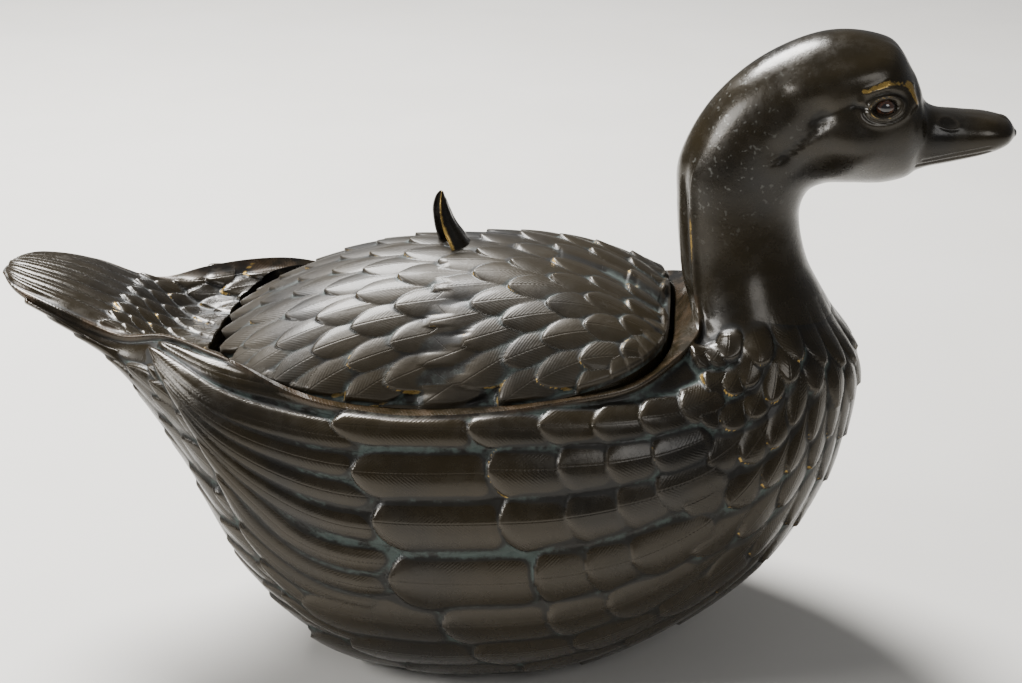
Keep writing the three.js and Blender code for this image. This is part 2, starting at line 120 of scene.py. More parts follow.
def through(table, station):
    """A smooth curve through the rows of a table, at any station between them."""
    last = len(table) - 1
    station = np.clip(station, 0, last - 1e-9)
    row = np.floor(station).astype(int)
    t = (station - row)[..., None]
    ends = np.vstack([2 * table[0] - table[1], table, 2 * table[-1] - table[-2]])
    before, start, end, after = ends[row], ends[row + 1], ends[row + 2], ends[row + 3]
    square = 2 * before - 5 * start + 4 * end - after
    cube = 3 * start - before - 3 * end + after
    return 0.5 * (2 * start + (end - before) * t + square * t**2 + cube * t**3)


def signed_power(value, power):
    return np.sign(value) * np.abs(value) ** power


def smooth(value):
    t = np.clip(value, 0, 1)
    return t * t * (3 - 2 * t)


def bell(value, width):
    return np.exp(-((value / width) ** 2))


def form_point(station, angle):
    """A point of the duck's form at a station and an angle from the keel, in radians."""
    row = through(STATIONS, station)
    middle = (row[..., 0:2] + row[..., 2:4]) / 2
    axis = (row[..., 0:2] - row[..., 2:4]) / 2
    along = signed_power(np.cos(angle), 2 / row[..., 6])
    across = signed_power(np.sin(angle), 2 / row[..., 6])
    x = middle[..., 0] + axis[..., 0] * along
    y = row[..., 4] * across * (1 + row[..., 5] * np.cos(angle))
    z = middle[..., 1] + axis[..., 1] * along
    return np.stack([x, y, np.maximum(z, 0)], -1)


def edge_angle(station):
    return np.radians(through(STATIONS, station)[..., 7])


def side_point(station, share):
    """The form below its edges: share runs from -1 at the right edge through the keel to 1 at the left."""
    return form_point(station, edge_angle(station) * share)


def hollow(share):
    """The depth of a full hollow at a share of the way across it."""
    return HOLLOW_DEPTH * (1 - np.abs(2 * share - 1) ** HOLLOW_POWER)


def top_point(station, share):
    """The form's top between its edges: share runs from 0 at the left edge to 1 at the right."""
    edge = edge_angle(station)
    bulge = through(STATIONS, station)[..., 8]
    left = form_point(station, edge)
    right = form_point(station, -edge)
    full = form_point(station, edge + (math.pi - edge) * 2 * share)
    chord = left + (right - left) * share[..., None]
    point = chord + (full - chord) * np.maximum(bulge, 0)[..., None]
    point[..., 2] += np.minimum(bulge, 0) * hollow(share)
    return point


def oval(shape, angle, share=1.0, grow=0.0):
    """A flattened oval's x and y at a share of its size, grown by an amount, and the share of its length."""
    front = np.cos(angle) > 0
    power = 2 / np.where(front, shape["front_power"], shape["rear_power"])
    c = signed_power(np.cos(angle), power)
    x = shape["x"] + (np.where(front, shape["front"], shape["rear"]) + grow) * share * c
    y = (shape["width"] + grow) * share * signed_power(np.sin(angle), power)
    return x, y, c


def dome_point(share, angle, inset=0.0):
    """A point of the lid's dome at a share of the way out from its middle."""
    x, y, c = oval(LID, angle, share, -inset)
    end = np.where(c < 0, LID_EDGE["rear"], LID_EDGE["front"])
    edge = LID_EDGE["middle"] + (end - LID_EDGE["middle"]) * c * c
    crown = DOME["crown"] - DOME["fall"] * (x - DOME["crown_x"]) ** 2
    rise = (1 - share ** DOME["power"]) ** (1 / DOME["roundness"])
    return np.stack([x, y, edge + (crown - edge) * rise - inset], -1)


def dome_over(x, y):
    """The dome's point over a place in plan."""
    front = x > LID["x"]
    power = np.where(front, LID["front_power"], LID["rear_power"])
    c = (x - LID["x"]) / np.where(front, LID["front"], LID["rear"])
    s = y / LID["width"]
    share = (np.abs(c) ** power + np.abs(s) ** power) ** (1 / power)
    share = np.clip(share, 1e-6, 1)
    angle = np.arctan2(signed_power(s / share, power / 2), signed_power(c / share, power / 2))
    return dome_point(share, angle)


def grid_normals(points):
    """Unit normals of a grid of points."""
    down = np.gradient(points, axis=0)
    across = np.gradient(points, axis=1)
    normal = np.cross(across, down)
    return normal / np.maximum(np.linalg.norm(normal, axis=-1, keepdims=True), 1e-9)


def spine_normals(point, a, b, step=0.02):
    """Unit normals of a surface function along a line of its two parameters."""
    down = point(a + step, b) - point(a - step, b)
    across = point(a, b + step) - point(a, b - step)
    normal = np.cross(across, down)
    return normal / np.maximum(np.linalg.norm(normal, axis=-1, keepdims=True), 1e-9)


# ---- Relief ------------------------------------------------------------------------------------------


class Relief:
    """Feathers raised on a grid of points, with each feather's own coordinates for the material."""

    def __init__(self, points, normals):
        self.shape = points.shape[:2]
        self.points = points.reshape(-1, 3)
        self.normals = normals.reshape(-1, 3)
        count = len(self.points)
        self.height = np.zeros(count)
        self.values = {name: np.zeros(count) for name in ("along", "across", "shade", "lined", "gilt")}

    def feather(self, spine, ups, width, lift=1.3, crown=0.55, point=2.0, blunt=2.0, root=0.6, belly=0.5,
                edge=1.25, rise=0.3, tilt=0.0, lined=0.0, gilt=0.0):
        """Raises one feather along a spine from root to tip.

        width is half its breadth and gilt its chance of brass. lift is its tip's height. crown and tilt
        shape it across, and root, belly, point and blunt shape its outline. edge is how wide its rounded
        border is, and rise how soon it leaves the surface.
        """
        reach = width + 1
        low = spine.min(0) - reach
        high = spine.max(0) + reach
        near = np.flatnonzero(np.all((self.points > low) & (self.points < high), axis=1))
        near = near[self.normals[near] @ ups.mean(0) > 0.1]
        shade, chance = rng.random(2)
        if not len(near):
            return
        starts = spine[:-1]
        legs = spine[1:] - starts
        lengths = np.linalg.norm(legs, axis=1)
        total = lengths.sum()
        offsets = self.points[near][:, None, :] - starts
        t = np.clip((offsets * legs).sum(-1) / lengths**2, 0, 1)
        apart = offsets - t[..., None] * legs
        leg = np.argmin((apart**2).sum(-1), axis=1)
        pick = np.arange(len(near))
        sides = np.cross(ups[:-1], legs / lengths[:, None])
        across = (apart[pick, leg] * sides[leg]).sum(-1)
        begin = np.concatenate([[0], np.cumsum(lengths)[:-1]])
        along = (begin[leg] + t[pick, leg] * lengths[leg]) / total

        def outline(share):
            rear = np.clip((share - belly) / (1 - belly), 0, 1)
            grow = root + (1 - root) * np.sin(np.pi / 2 * np.clip(share / belly, 0, 1))
            return width * np.where(share < belly, grow, (1 - rear**point) ** (1 / blunt))

        half = outline(along)
        step = 0.01
        ahead, behind = outline(np.clip(along + step, 0, 1)), outline(np.clip(along - step, 0, 1))
        slope = (ahead - behind) / (2 * step * total)
        inside = (half - np.abs(across)) / np.sqrt(1 + np.clip(slope, -6, 6) ** 2)
        share = np.clip(np.abs(across) / np.maximum(half, 0.2), 0, 1)
        height = lift * (0.1 + 0.9 * along**1.3) + crown * (1 - share**2)
        height += tilt * across / width
        height += 0.06 * bell(across, 0.55) * smooth((0.97 - along) / 0.3)
        rounding = 1 - (1 - np.clip(inside / edge, 0, 1)) ** 2
        height *= rounding * smooth(along / rise)
        wins = (inside > 0) & (height > self.height[near])
        chosen = near[wins]
        self.height[chosen] = height[wins]
        self.values["along"][chosen] = along[wins] * total
        self.values["across"][chosen] = across[wins]
        self.values["shade"][chosen] = shade
        self.values["lined"][chosen] = lined
        near_tip = bell(inside - 0.45, 0.5) * smooth((along - 0.6) / 0.25)
        self.values["gilt"][chosen] = near_tip[wins] * float(chance < gilt)


def blur(values, radius):
    """A box blur of a grid, run twice."""
    for _ in range(2):
        for axis in (0, 1):
            width = 2 * radius + 1
            pad = [(radius + 1, radius) if k == axis else (0, 0) for k in (0, 1)]
            sums = np.cumsum(np.pad(values, pad, mode="edge"), axis=axis)
            high = np.take(sums, np.arange(width, sums.shape[axis]), axis=axis)
            low = np.take(sums, np.arange(0, sums.shape[axis] - width), axis=axis)
            values = (high - low) / width
    return values


def finish_values(relief, height, **extra):
    """The material's values on a grid: hollows, rubbed brass tips and the feathers' own coordinates."""
    convex = np.clip((height - blur(height, 2)) * 5, 0, 1)
    values = {
        "cavity": np.clip((blur(height, 4) - height) * 2.6 - 0.1, 0, 1),
        "wear": relief.values["gilt"],
        "polish": convex,
    }
    for name in ("along", "across", "shade", "lined"):
        values[name] = relief.values[name]
    values.update(extra)
    return values


# ---- Meshes ------------------------------------------------------------------------------------------

VALUE_NAMES = ("cavity", "wear", "polish", "along", "across", "shade", "lined", "brown", "matte")


class Shell:
    """Collects grids of points into one mesh with the material's values."""

    def __init__(self):
        self.points = []
        self.faces = []
        self.values = {name: [] for name in VALUE_NAMES}
        self.count = 0

    def grid(self, points, closed=False, flip=False, **values):
        rows, columns = points.shape[:2]
        index = np.arange(rows * columns).reshape(rows, columns) + self.count
        if closed:
            index = np.hstack([index, index[:, :1]])
        corners = [index[:-1, :-1], index[1:, :-1], index[1:, 1:], index[:-1, 1:]]
        quads = np.stack(corners, -1).reshape(-1, 4)
        if flip:
            quads = quads[:, ::-1]
        self.points.append(points.reshape(-1, 3))
        self.faces.append(quads)
        for name, store in self.values.items():
            given = np.asarray(values.get(name, 0.0), float)
            store.append(np.broadcast_to(given.reshape(-1) if given.size > 1 else given, rows * columns))
        self.count += rows * columns

    def drop(self, test):
        """Removes the faces whose middle passes a test."""
        points = np.concatenate(self.points)
        faces = np.concatenate(self.faces)
        self.faces = [faces[~test(points[faces].mean(1))]]

    def turned(self, profile, x=0.0, y=0.0, z=0.0, sides=96, squeeze=None, **values):
        """A turned surface about an upright axis from its half profile of radius and height."""
        angle = np.linspace(0, 2 * np.pi, sides, endpoint=False)
        radius, height = np.array(profile)[:, 0:1], np.array(profile)[:, 1:2]
        out = radius * (np.ones_like(angle) if squeeze is None else squeeze(radius, angle))
        upright = np.broadcast_to(z + height, out.shape)
        points = np.stack([x + out * np.cos(angle), y + out * np.sin(angle), upright], -1)
        self.grid(points, closed=True, flip=True, **values)

    def build(self, name, material, body, *nodes):
        points = np.concatenate(self.points) * MM
        faces = np.concatenate(self.faces).astype(np.int32)
        mesh = bpy.data.meshes.new(name)
        mesh.vertices.add(len(points))
        mesh.vertices.foreach_set("co", points.astype(np.float32).ravel())
        mesh.loops.add(faces.size)
        mesh.loops.foreach_set("vertex_index", faces.ravel())
        mesh.polygons.add(len(faces))
        mesh.polygons.foreach_set("loop_start", np.arange(0, faces.size, 4, dtype=np.int32))
        mesh.polygons.foreach_set("use_smooth", np.ones(len(faces), bool))
        mesh.update(calc_edges=True)
        for key, store in self.values.items():
            layer = mesh.attributes.new(key, "FLOAT", "POINT")
            layer.data.foreach_set("value", np.concatenate(store).astype(np.float32))
        mesh.validate()
        return place(name, mesh, material, body, *nodes)


def place(name, mesh, material, body, *nodes):
    """Puts a mesh in the scene, riding a body and standing in for the nodes named."""
    mesh.materials.clear()
    mesh.materials.append(material)
    piece = bpy.data.objects.new(name, mesh)
    bpy.context.scene.collection.objects.link(piece)
    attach(piece, body)
    if nodes:
        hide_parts(*nodes)
    return piece


def rounded(corners, radius, pieces=5):
    """A profile with every corner between its ends rounded off."""
    corners = np.array(corners, float)
    profile = [corners[0]]
    for before, corner, after in zip(corners, corners[1:], corners[2:]):
        reach = [min(radius, 0.45 * np.linalg.norm(end - corner)) for end in (before, after)]
        start = corner + (before - corner) / np.linalg.norm(before - corner) * reach[0]
        stop = corner + (after - corner) / np.linalg.norm(after - corner) * reach[1]
        for t in np.linspace(0, 1, pieces):
            profile.append(start * (1 - t) ** 2 + corner * 2 * t * (1 - t) + stop * t**2)
    profile.append(corners[-1])
    return profile


def pierced_plate(name, material, body, node, outlines, low, high, bevel=0.25):
    """A flat plate with rounded edges: the first closed outline is its edge and the others are holes."""
    curve = bpy.data.curves.new(name, "CURVE")
    curve.dimensions = "2D"
    curve.fill_mode = "BOTH"
    curve.extrude = ((high - low) / 2 - bevel) * MM
    curve.bevel_depth = bevel * MM
    curve.bevel_resolution = 2
    curve.offset = -bevel * MM
    for outline in outlines:
        spline = curve.splines.new("POLY")
        spline.points.add(len(outline) - 1)
        for corner, (x, y) in zip(spline.points, outline):
            corner.co = (x * MM, y * MM, 0, 1)
        spline.use_cyclic_u = True
    drawing = bpy.data.objects.new(name + "_outline", curve)
    mesh = bpy.data.meshes.new_from_object(drawing)
    for vertex in mesh.vertices:
        vertex.co.z += (low + high) / 2 * MM
    bpy.data.objects.remove(drawing)
    return place(name, mesh, material, body, node)


def circle(x, y, radius, sides=72):
    turn = np.linspace(0, 2 * np.pi, sides, endpoint=False)
    return np.stack([x + radius * np.cos(turn), y + radius * np.sin(turn)], -1)


# ---- Materials ---------------------------------------------------------------------------------------


class Nodes:
    """Short calls for building a node material."""

    def __init__(self, name):
        self.material = bpy.data.materials.new(name)
        self.material.use_nodes = True
        self.tree = self.material.node_tree
        self.shader = self.tree.nodes["Principled BSDF"]

    def link(self, value, socket):
        if isinstance(value, bpy.types.NodeSocket):
            self.tree.links.new(value, socket)
        else:
            socket.default_value = value

    def math(self, operation, a, b=0.0, clamp=False):
        node = self.tree.nodes.new("ShaderNodeMath")
        node.operation = operation
        node.use_clamp = clamp
        self.link(a, node.inputs[0])
        self.link(b, node.inputs[1])
        return node.outputs[0]

    def times(self, a, b):
        return self.math("MULTIPLY", a, b)

    def plus(self, a, b):
        return self.math("ADD", a, b)

    def attribute(self, name):
        node = self.tree.nodes.new("ShaderNodeAttribute")
        node.attribute_name = name
        return node.outputs["Fac"]

    def place(self):
        return self.tree.nodes.new("ShaderNodeTexCoord").outputs["Object"]

    def axis(self, name):
        node = self.tree.nodes.new("ShaderNodeSeparateXYZ")
        self.link(self.place(), node.inputs["Vector"])
        return node.outputs[name]

    def noise(self, scale, detail=4.0, rough=0.55):
        node = self.tree.nodes.new("ShaderNodeTexNoise")
        node.inputs["Scale"].default_value = scale
        node.inputs["Detail"].default_value = detail
        node.inputs["Roughness"].default_value = rough
        self.link(self.place(), node.inputs["Vector"])
        return node.outputs["Fac"]

    def cells(self, scale, feature="F1"):
        node = self.tree.nodes.new("ShaderNodeTexVoronoi")
        node.feature = feature
        node.inputs["Scale"].default_value = scale
        self.link(self.place(), node.inputs["Vector"])
        return node.outputs["Distance"]

    def ramp(self, value, low, high):
        """0 up to low, 1 from high, and smooth between."""
        node = self.tree.nodes.new("ShaderNodeMapRange")
        node.interpolation_type = "SMOOTHSTEP"
        self.link(value, node.inputs["Value"])
        node.inputs["From Min"].default_value = low
        node.inputs["From Max"].default_value = high
        return node.outputs["Result"]

    def ridge(self, value, width):
        """1 where a value is 0, falling away to either side."""
        square = self.math("POWER", self.times(value, 1 / width), 2.0)
        return self.math("EXPONENT", self.times(square, -1.0))

    def mix(self, factor, a, b):
        node = self.tree.nodes.new("ShaderNodeMix")
        node.data_type = "RGBA"
        self.link(factor, node.inputs["Factor"])
        self.link(a, node.inputs["A"])
        self.link(b, node.inputs["B"])
        return node.outputs["Result"]

    def blend(self, factor, a, b):
        node = self.tree.nodes.new("ShaderNodeMix")
        self.link(factor, node.inputs["Factor"])
        self.link(a, node.inputs["A"])
        self.link(b, node.inputs["B"])
        return node.outputs["Result"]

    def bump(self, height, distance, strength=1.0, normal=None):
        node = self.tree.nodes.new("ShaderNodeBump")
        node.inputs["Distance"].default_value = distance * MM
        node.inputs["Strength"].default_value = strength
        self.link(height, node.inputs["Height"])
        if normal:
            self.link(normal, node.inputs["Normal"])
        return node.outputs["Normal"]

    def finish(self, color, roughness, metallic=0.0, normal=None):
        self.link(color, self.shader.inputs["Base Color"])
        self.link(roughness, self.shader.inputs["Roughness"])
        self.link(metallic, self.shader.inputs["Metallic"])
        if normal:
            self.link(normal, self.shader.inputs["Normal"])
        return self.material


def patinated_bronze():
    """Dark brown patina: verdigris and dirt in the hollows, paler crowns, brass on some feather tips, and a
    painted highlight of pale grey specks high on the back of the neck and head.
    """
    n = Nodes("bronze_patina")
    broad = n.noise(26.0, 3.0)
    patches = n.noise(75.0, 4.0)
    mottle = n.noise(240.0, 5.0, 0.65)
    fine = n.noise(1300.0, 4.0, 0.7)
    cavity, polish, across = n.attribute("cavity"), n.attribute("polish"), n.attribute("across")

    color = n.mix(n.ramp(broad, 0.38, 0.66), (0.008, 0.0075, 0.007, 1), (0.015, 0.0115, 0.0065, 1))
    color = n.mix(n.times(n.ramp(mottle, 0.42, 0.75), 0.4), color, (0.021, 0.019, 0.016, 1))
    color = n.mix(n.times(n.attribute("shade"), 0.4), color, (0.027, 0.020, 0.011, 1))
    glaze = n.ramp(broad, 0.3, 0.6)
    color = n.mix(n.times(glaze, 0.55), color, (0.027, 0.0185, 0.0055, 1))
    # Painted highlight: pale grey specks high on the back of the neck and head, standing in for the sheen of
    # the light on the nape.
    nape_highlight_area = n.times(n.ramp(n.axis("Z"), 0.095, 0.125), n.ramp(n.axis("X"), 0.078, 0.05))
    specks = n.times(n.ramp(n.noise(900.0, 1.0), 0.64, 0.72), nape_highlight_area)
    color = n.mix(n.times(specks, 0.5), color, (0.16, 0.16, 0.145, 1))
    color = n.mix(n.times(n.ramp(polish, 0.05, 0.8), 0.3), color, (0.055, 0.045, 0.032, 1))
    dirt = n.ramp(cavity, 0.05, 0.4)
    color = n.mix(n.times(dirt, 0.75), color, (0.005, 0.005, 0.0045, 1))
    where = n.ramp(n.plus(patches, n.times(n.plus(mottle, -0.5), 0.8)), 0.42, 0.60)
    grain = n.times(n.plus(n.noise(650.0, 4.0, 0.7), -0.5), 1.1)
    green = n.times(n.ramp(n.plus(cavity, grain), 0.4, 1.05), where)
    color = n.mix(n.times(green, 0.8), color, (0.060, 0.082, 0.073, 1))
    uneven = n.plus(patches, n.times(n.plus(mottle, -0.5), 0.7))
    rubbed = n.times(n.attribute("brown"), n.ramp(uneven, 0.36, 0.66))
    color = n.mix(n.times(rubbed, 0.75), color, (0.060, 0.036, 0.017, 1))
    brassy = n.ramp(n.times(n.attribute("wear"), n.ramp(mottle, 0.25, 0.6)), 0.35, 0.8)
    color = n.mix(n.times(brassy, 0.9), color, (0.40, 0.26, 0.07, 1))

    rough = n.blend(n.ramp(mottle, 0.3, 0.7), 0.19, 0.32)
    rough = n.blend(n.times(n.attribute("matte"), 0.6), rough, 0.55)
    rough = n.blend(n.times(dirt, 0.6), rough, 0.6)
    rough = n.blend(green, rough, 0.8)
    dust = n.times(n.times(n.attribute("matte"), where), n.ramp(n.plus(cavity, grain), 0.0, 0.5))
    color = n.mix(n.times(dust, 0.3), color, (0.060, 0.075, 0.068, 1))
    metal = n.blend(green, n.blend(brassy, 0.35, 0.8), 0.05)

    shaft = n.times(n.ridge(across, 0.16), n.ramp(n.attribute("along"), 0.5, 3.0))
    barbs = n.plus(n.attribute("along"), n.times(n.math("ABSOLUTE", across), 1.3))
    strokes = n.times(n.math("SINE", n.times(barbs, 6.5)), n.ramp(patches, 0.42, 0.62))
    lines = n.times(n.math("COSINE", n.times(across, 3.1)), n.attribute("lined"))
    file_marks = n.math("SINE", n.times(n.plus(n.axis("X"), n.times(n.axis("Y"), 0.4)), 8200.0))
    normal = n.bump(shaft, 0.08, 0.6)
    normal = n.bump(lines, 0.09, 0.7, normal)
    normal = n.bump(strokes, 0.018, 0.5, normal)
    normal = n.bump(n.times(file_marks, n.attribute("brown")), 0.02, 0.4, normal)
    normal = n.bump(mottle, 0.16, 0.5, normal)
    normal = n.bump(fine, 0.05, 0.5, normal)
    n.shader.inputs["Coat Weight"].default_value = 0.12
    n.shader.inputs["Coat Roughness"].default_value = 0.12
    n.shader.inputs["Specular IOR Level"].default_value = 0.42
    return n.finish(color, rough, metal, normal)


def aged_brass():
    """Brass of the hidden fittings, browned by age, with fine lathe and file marks."""
    n = Nodes("aged_brass")
    patches = n.noise(60.0, 5.0, 0.6)
    mottle = n.noise(420.0, 5.0, 0.65)
    color = n.mix(n.ramp(patches, 0.35, 0.65), (0.30, 0.19, 0.065, 1), (0.47, 0.32, 0.12, 1))
    color = n.mix(n.times(n.ramp(mottle, 0.5, 0.8), 0.6), color, (0.10, 0.062, 0.028, 1))
    rough = n.blend(n.ramp(patches, 0.3, 0.7), 0.28, 0.46)
    brushed = n.math("SINE", n.times(n.plus(n.axis("Y"), n.times(mottle, 0.0006)), 9000.0))
    normal = n.bump(brushed, 0.02, 0.4)
    normal = n.bump(mottle, 0.06, 0.5, normal)
    return n.finish(color, rough, 0.95, normal)


def glazed_porcelain():
    """White glaze with fine crazing, and ink that has stained the pot round its mouth."""
    n = Nodes("glazed_porcelain")
    n.shader.inputs["Coat Weight"].default_value = 0.5
    n.shader.inputs["Coat Roughness"].default_value = 0.08
    crazing = n.ramp(n.cells(330.0, "DISTANCE_TO_EDGE"), 0.03, 0.0)
    patches = n.noise(45.0, 4.0)
    specks = n.ramp(n.noise(700.0, 2.0), 0.66, 0.74)
    color = n.mix(n.ramp(patches, 0.35, 0.7), (0.78, 0.76, 0.70, 1), (0.68, 0.67, 0.62, 1))
    color = n.mix(n.times(crazing, 0.22), color, (0.32, 0.27, 0.20, 1))
    color = n.mix(n.times(specks, 0.6), color, (0.20, 0.17, 0.14, 1))
    high = n.ramp(n.axis("Z"), 0.034, 0.026)
    inked = n.times(n.attribute("shade"), n.ramp(n.plus(n.noise(90.0, 5.0), n.times(high, 0.5)), 0.5, 0.72))
    color = n.mix(inked, color, (0.012, 0.014, 0.03, 1))
    normal = n.bump(patches, 0.25, 0.35)
    return n.finish(color, n.blend(specks, 0.16, 0.4), 0.0, normal)


def green_felt():
    """Felt: a matted nap of short fibres, faded in patches."""
    n = Nodes("green_felt")
    nap = n.noise(2600.0, 5.0, 0.8)
    patches = n.noise(90.0, 4.0)
    color = n.mix(n.ramp(patches, 0.35, 0.7), (0.020, 0.055, 0.030, 1), (0.040, 0.082, 0.046, 1))
    color = n.mix(n.times(n.ramp(nap, 0.45, 0.75), 0.6), color, (0.085, 0.12, 0.08, 1))
    n.shader.inputs["Sheen Weight"].default_value = 0.35
    return n.finish(color, 0.95, 0.0, n.bump(nap, 0.25, 0.9))


def glass_eye():
    """A dark pupil in a red-brown iris, drawn round the eye's axis."""
    n = Nodes("glass_eye")
    n.shader.inputs["Coat Weight"].default_value = 1.0
    n.shader.inputs["Coat Roughness"].default_value = 0.03
    x = n.times(n.plus(n.axis("X"), -EYE["x"] * MM), 1 / MM)
    z = n.times(n.plus(n.axis("Z"), -EYE["z"] * MM), 1 / MM)
    out = n.math("SQRT", n.plus(n.math("POWER", x, 2.0), n.math("POWER", z, 2.0)))
    fibres = n.noise(1500.0, 4.0)
    iris = n.mix(n.ramp(fibres, 0.3, 0.7), (0.028, 0.011, 0.006, 1), (0.085, 0.032, 0.013, 1))
    color = n.mix(n.ramp(out, 0.95, 1.15), (0.004, 0.003, 0.003, 1), iris)
    color = n.mix(n.ramp(out, 1.65, 1.95), color, (0.012, 0.009, 0.008, 1))
    return n.finish(color, 0.12, 0.0, n.bump(fibres, 0.02, 0.2))


bronze = patinated_bronze()
brass = aged_brass()
porcelain = glazed_porcelain()
felt = green_felt()
eye_glass = glass_eye()

# ---- Feathers of the body ----------------------------------------------------------------------------


def stations_apart(start, end, spacing, share=-0.7):
    """Stations from start to end about evenly spaced in millimetres along the side."""
    fine = np.linspace(start, end, CURVE_SAMPLES)
    line = side_point(fine, np.full_like(fine, share))
    run = np.concatenate([[0], np.cumsum(np.linalg.norm(np.diff(line, axis=0), axis=1))])
    count = int(run[-1] / spacing) + 1
    return np.interp(np.linspace(0, run[-1], count), run, fine)


def line_of(station_from, angle_from, station_to, angle_to, bow=1.0, pieces=8):
    """A feather's spine on the form, from its root to its tip. Angles are in degrees from the keel."""
    t = np.linspace(0, 1, pieces)
    stations = station_from + (station_to - station_from) * t
    angles = np.radians(angle_from + (angle_to - angle_from) * t**bow)
    return form_point(stations, angles), spine_normals(form_point, stations, angles)


# Rows of wing coverts from the rim down: angle from the keel, half width, and the stations of their tips
COVERT_ROWS = [
    (115.8, 5.0, [6.46, 7.9, 8.7, 9.35, 10.0, 10.7]),
    (105.5, 7.2, [6.68, 8.12, 8.92, 9.5, 10.12]),
    (94.0, 8.2, [6.9, 8.25, 9.0, 9.6, 10.1]),
    (81.5, 9.2, [7.05, 8.62, 9.2, 9.7]),
    (69.0, 9.2, [5.97, 7.6, 8.75, 9.4]),
    (56.0, 9.2, [6.5, 7.9, 9.0, 9.9]),
    (43.0, 9.0, [5.9, 7.1, 8.4, 9.5]),
    (30.0, 8.8, [6.3, 7.7, 9.0, 10.0]),
]
# The long flight feathers: the angles at the root and the tip, and the tip's station on the wing's edge
PRIMARIES = [
    (113, 134, 3.88),
    (106, 128, 3.98),
    (99, 121, 4.18),
    (92, 113, 4.45),
    (85.5, 104, 4.74),
    (79, 95, 4.98),
    (73, 86, 5.22),
    (66, 77, 5.44),
    (58, 67, 5.66),
]
# How far up the side the small coverts under the tail and the wing reach: stations, and angles from the keel
WING_EDGE = (
    (2.6, 3.3, 3.9, 4.23, 4.65, 4.92, 5.14, 5.4, 5.65, 6),
    (74, 112, 128, 120, 108, 98, 90, 79, 67, 50),
)
# How far round the breast its rows reach: stations, and angles from the keel
BREAST_EDGE = ((10.2, 11.4, 12.0, 12.5, 12.9, 13.4), (92, 141, 136, 118, 98, 74))
# The tail's feathers as their share of the way across and their height, the middle one over its neighbours
TAIL_FAN = ((0.5, 0.95), (0.36, 0.8), (0.64, 0.8), (0.22, 0.65), (0.78, 0.65), (0.08, 0.5), (0.92, 0.5))
# The stations of the tips of the breast's rows
BREAST_TIPS = (13.25, 12.84, 12.37, 11.88, 11.4, 10.92, 10.44, 9.96)


def covert_rows(relief, side):
    for angle, width, tips in COVERT_ROWS:
        fronts = tips[1:] + [tips[-1] + 0.8]
        for tip, front in zip(tips, fronts):
            turn = rng.normal(0, 0.7)
            spine, ups = line_of(front + 0.5, side * angle, tip, side * (angle + 1 + turn), pieces=9)
            look = {"lift": 1.0, "crown": 1.8, "blunt": 2.1, "root": 0.95, "belly": 0.72, "edge": 1.0}
            relief.feather(spine, ups, width, tilt=-0.45 * side, gilt=0.06, **look)


def wing_and_rump(relief, side):
    """The long flight feathers that close the wing, and the small pointed coverts under it and the tail."""
    for index, (start, end, tip) in enumerate(PRIMARIES):
        spine, ups = line_of(7.5, side * start, tip, side * end, bow=3.2, pieces=18)
        look = {"crown": 1.7, "root": 1, "belly": 0.55, "edge": 1.6, "lined": 0.35}
        relief.feather(spine, ups, 4.7, lift=1.3 - 0.04 * index, gilt=0.04, **look)
    spine, ups = line_of(7.2, side * 121, 4.0, side * 140, bow=1.4, pieces=16)
    relief.feather(spine, ups, 3.4, lift=1.3, crown=0.5, root=1, belly=0.6, lined=1)
    for row, tip in enumerate(np.arange(1.3, 6.0, 0.5)):
        for column in range(11):
            angle = 5.5 + 11 * column + 5.5 * (row % 2)
            if angle < np.interp(tip, *WING_EDGE):
                spine, ups = line_of(tip + 1.05, side * angle, tip, side * angle)
                relief.feather(spine, ups, 3.9, lift=1.2, crown=0.5, point=1.7, blunt=1.4, root=0.7)


def under_feathers(relief):
    """Rows across the breast, shorter towards the neck, and the belly's long rows."""
    for row, tip in enumerate(BREAST_TIPS):
        rise = (1.0, 0.7)[row] if row < 2 else 0.3
        apart = 18 if row < 2 else 15
        limit = np.interp(tip, *BREAST_EDGE)
        for column in range(-9, 10):
            angle = apart * (column + 0.5 * (row % 2))
            if abs(angle) > limit:
                continue
            jitter = rng.normal(0, 0.05)
            here, _ = line_of(tip, angle - apart / 2, tip, angle + apart / 2)
            width = 0.5 * np.linalg.norm(here[-1] - here[0])
            spine, ups = line_of(tip + 1.15, angle * 0.97, tip + jitter, angle)
            look = {"lift": 1.5, "crown": 0.9, "point": 2.3, "root": 0.55, "rise": rise}
            relief.feather(spine, ups, width * 1.1, gilt=0.45, **look)
    for row, tip in enumerate((5.6, 6.45, 7.3, 8.15, 9.0, 9.7)):
        for column in (-1, 0, 1):
            angle = 14 * (column + 0.5 * (row % 2))
            spine, ups = line_of(tip + 1.4, angle, tip, angle)
            relief.feather(spine, ups, 7.0, lift=1.2, crown=0.5, root=0.8, belly=0.7)


def body_feathers(relief):
    for side in (-1, 1):
        covert_rows(relief, side)
        wing_and_rump(relief, side)
    under_feathers(relief)


def tail_feathers(relief):
    """Broad tail feathers fanned over the tail's flat top, and pointed coverts over their roots."""
    look = {"crown": 0.6, "root": 0.8, "belly": 0.62, "point": 2.6, "edge": 0.9, "lined": 1}
    for share, lift in TAIL_FAN:
        t = np.linspace(0, 1, 14)
        stations = 3.9 + (0.02 + 0.5 * abs(share - 0.5) - 3.9) * t
        shares = 0.5 + (share - 0.5) * (0.8 + 0.2 * t)
        spine = top_point(stations, shares)
        ups = spine_normals(top_point, stations, shares)
        relief.feather(spine, ups, 3.7, lift=lift, **look)
    for row, tip in enumerate(np.arange(2.75, 5.2, 0.3)):
        for column in range(-4, 5):
            share = 0.5 + 0.15 * (column + 0.5 * (row % 2))
            if 0.02 < share < 0.98:
                stations = tip + 0.8 * (1 - np.linspace(0, 1, 6))
                shares = np.full(6, share)
                spine = top_point(stations, shares)
                ups = spine_normals(top_point, stations, shares)
                relief.feather(spine, ups, 3.9, lift=1.25, crown=0.45, point=1.6, blunt=1.3, gilt=0.15)


# ---- The head's chasing ------------------------------------------------------------------------------


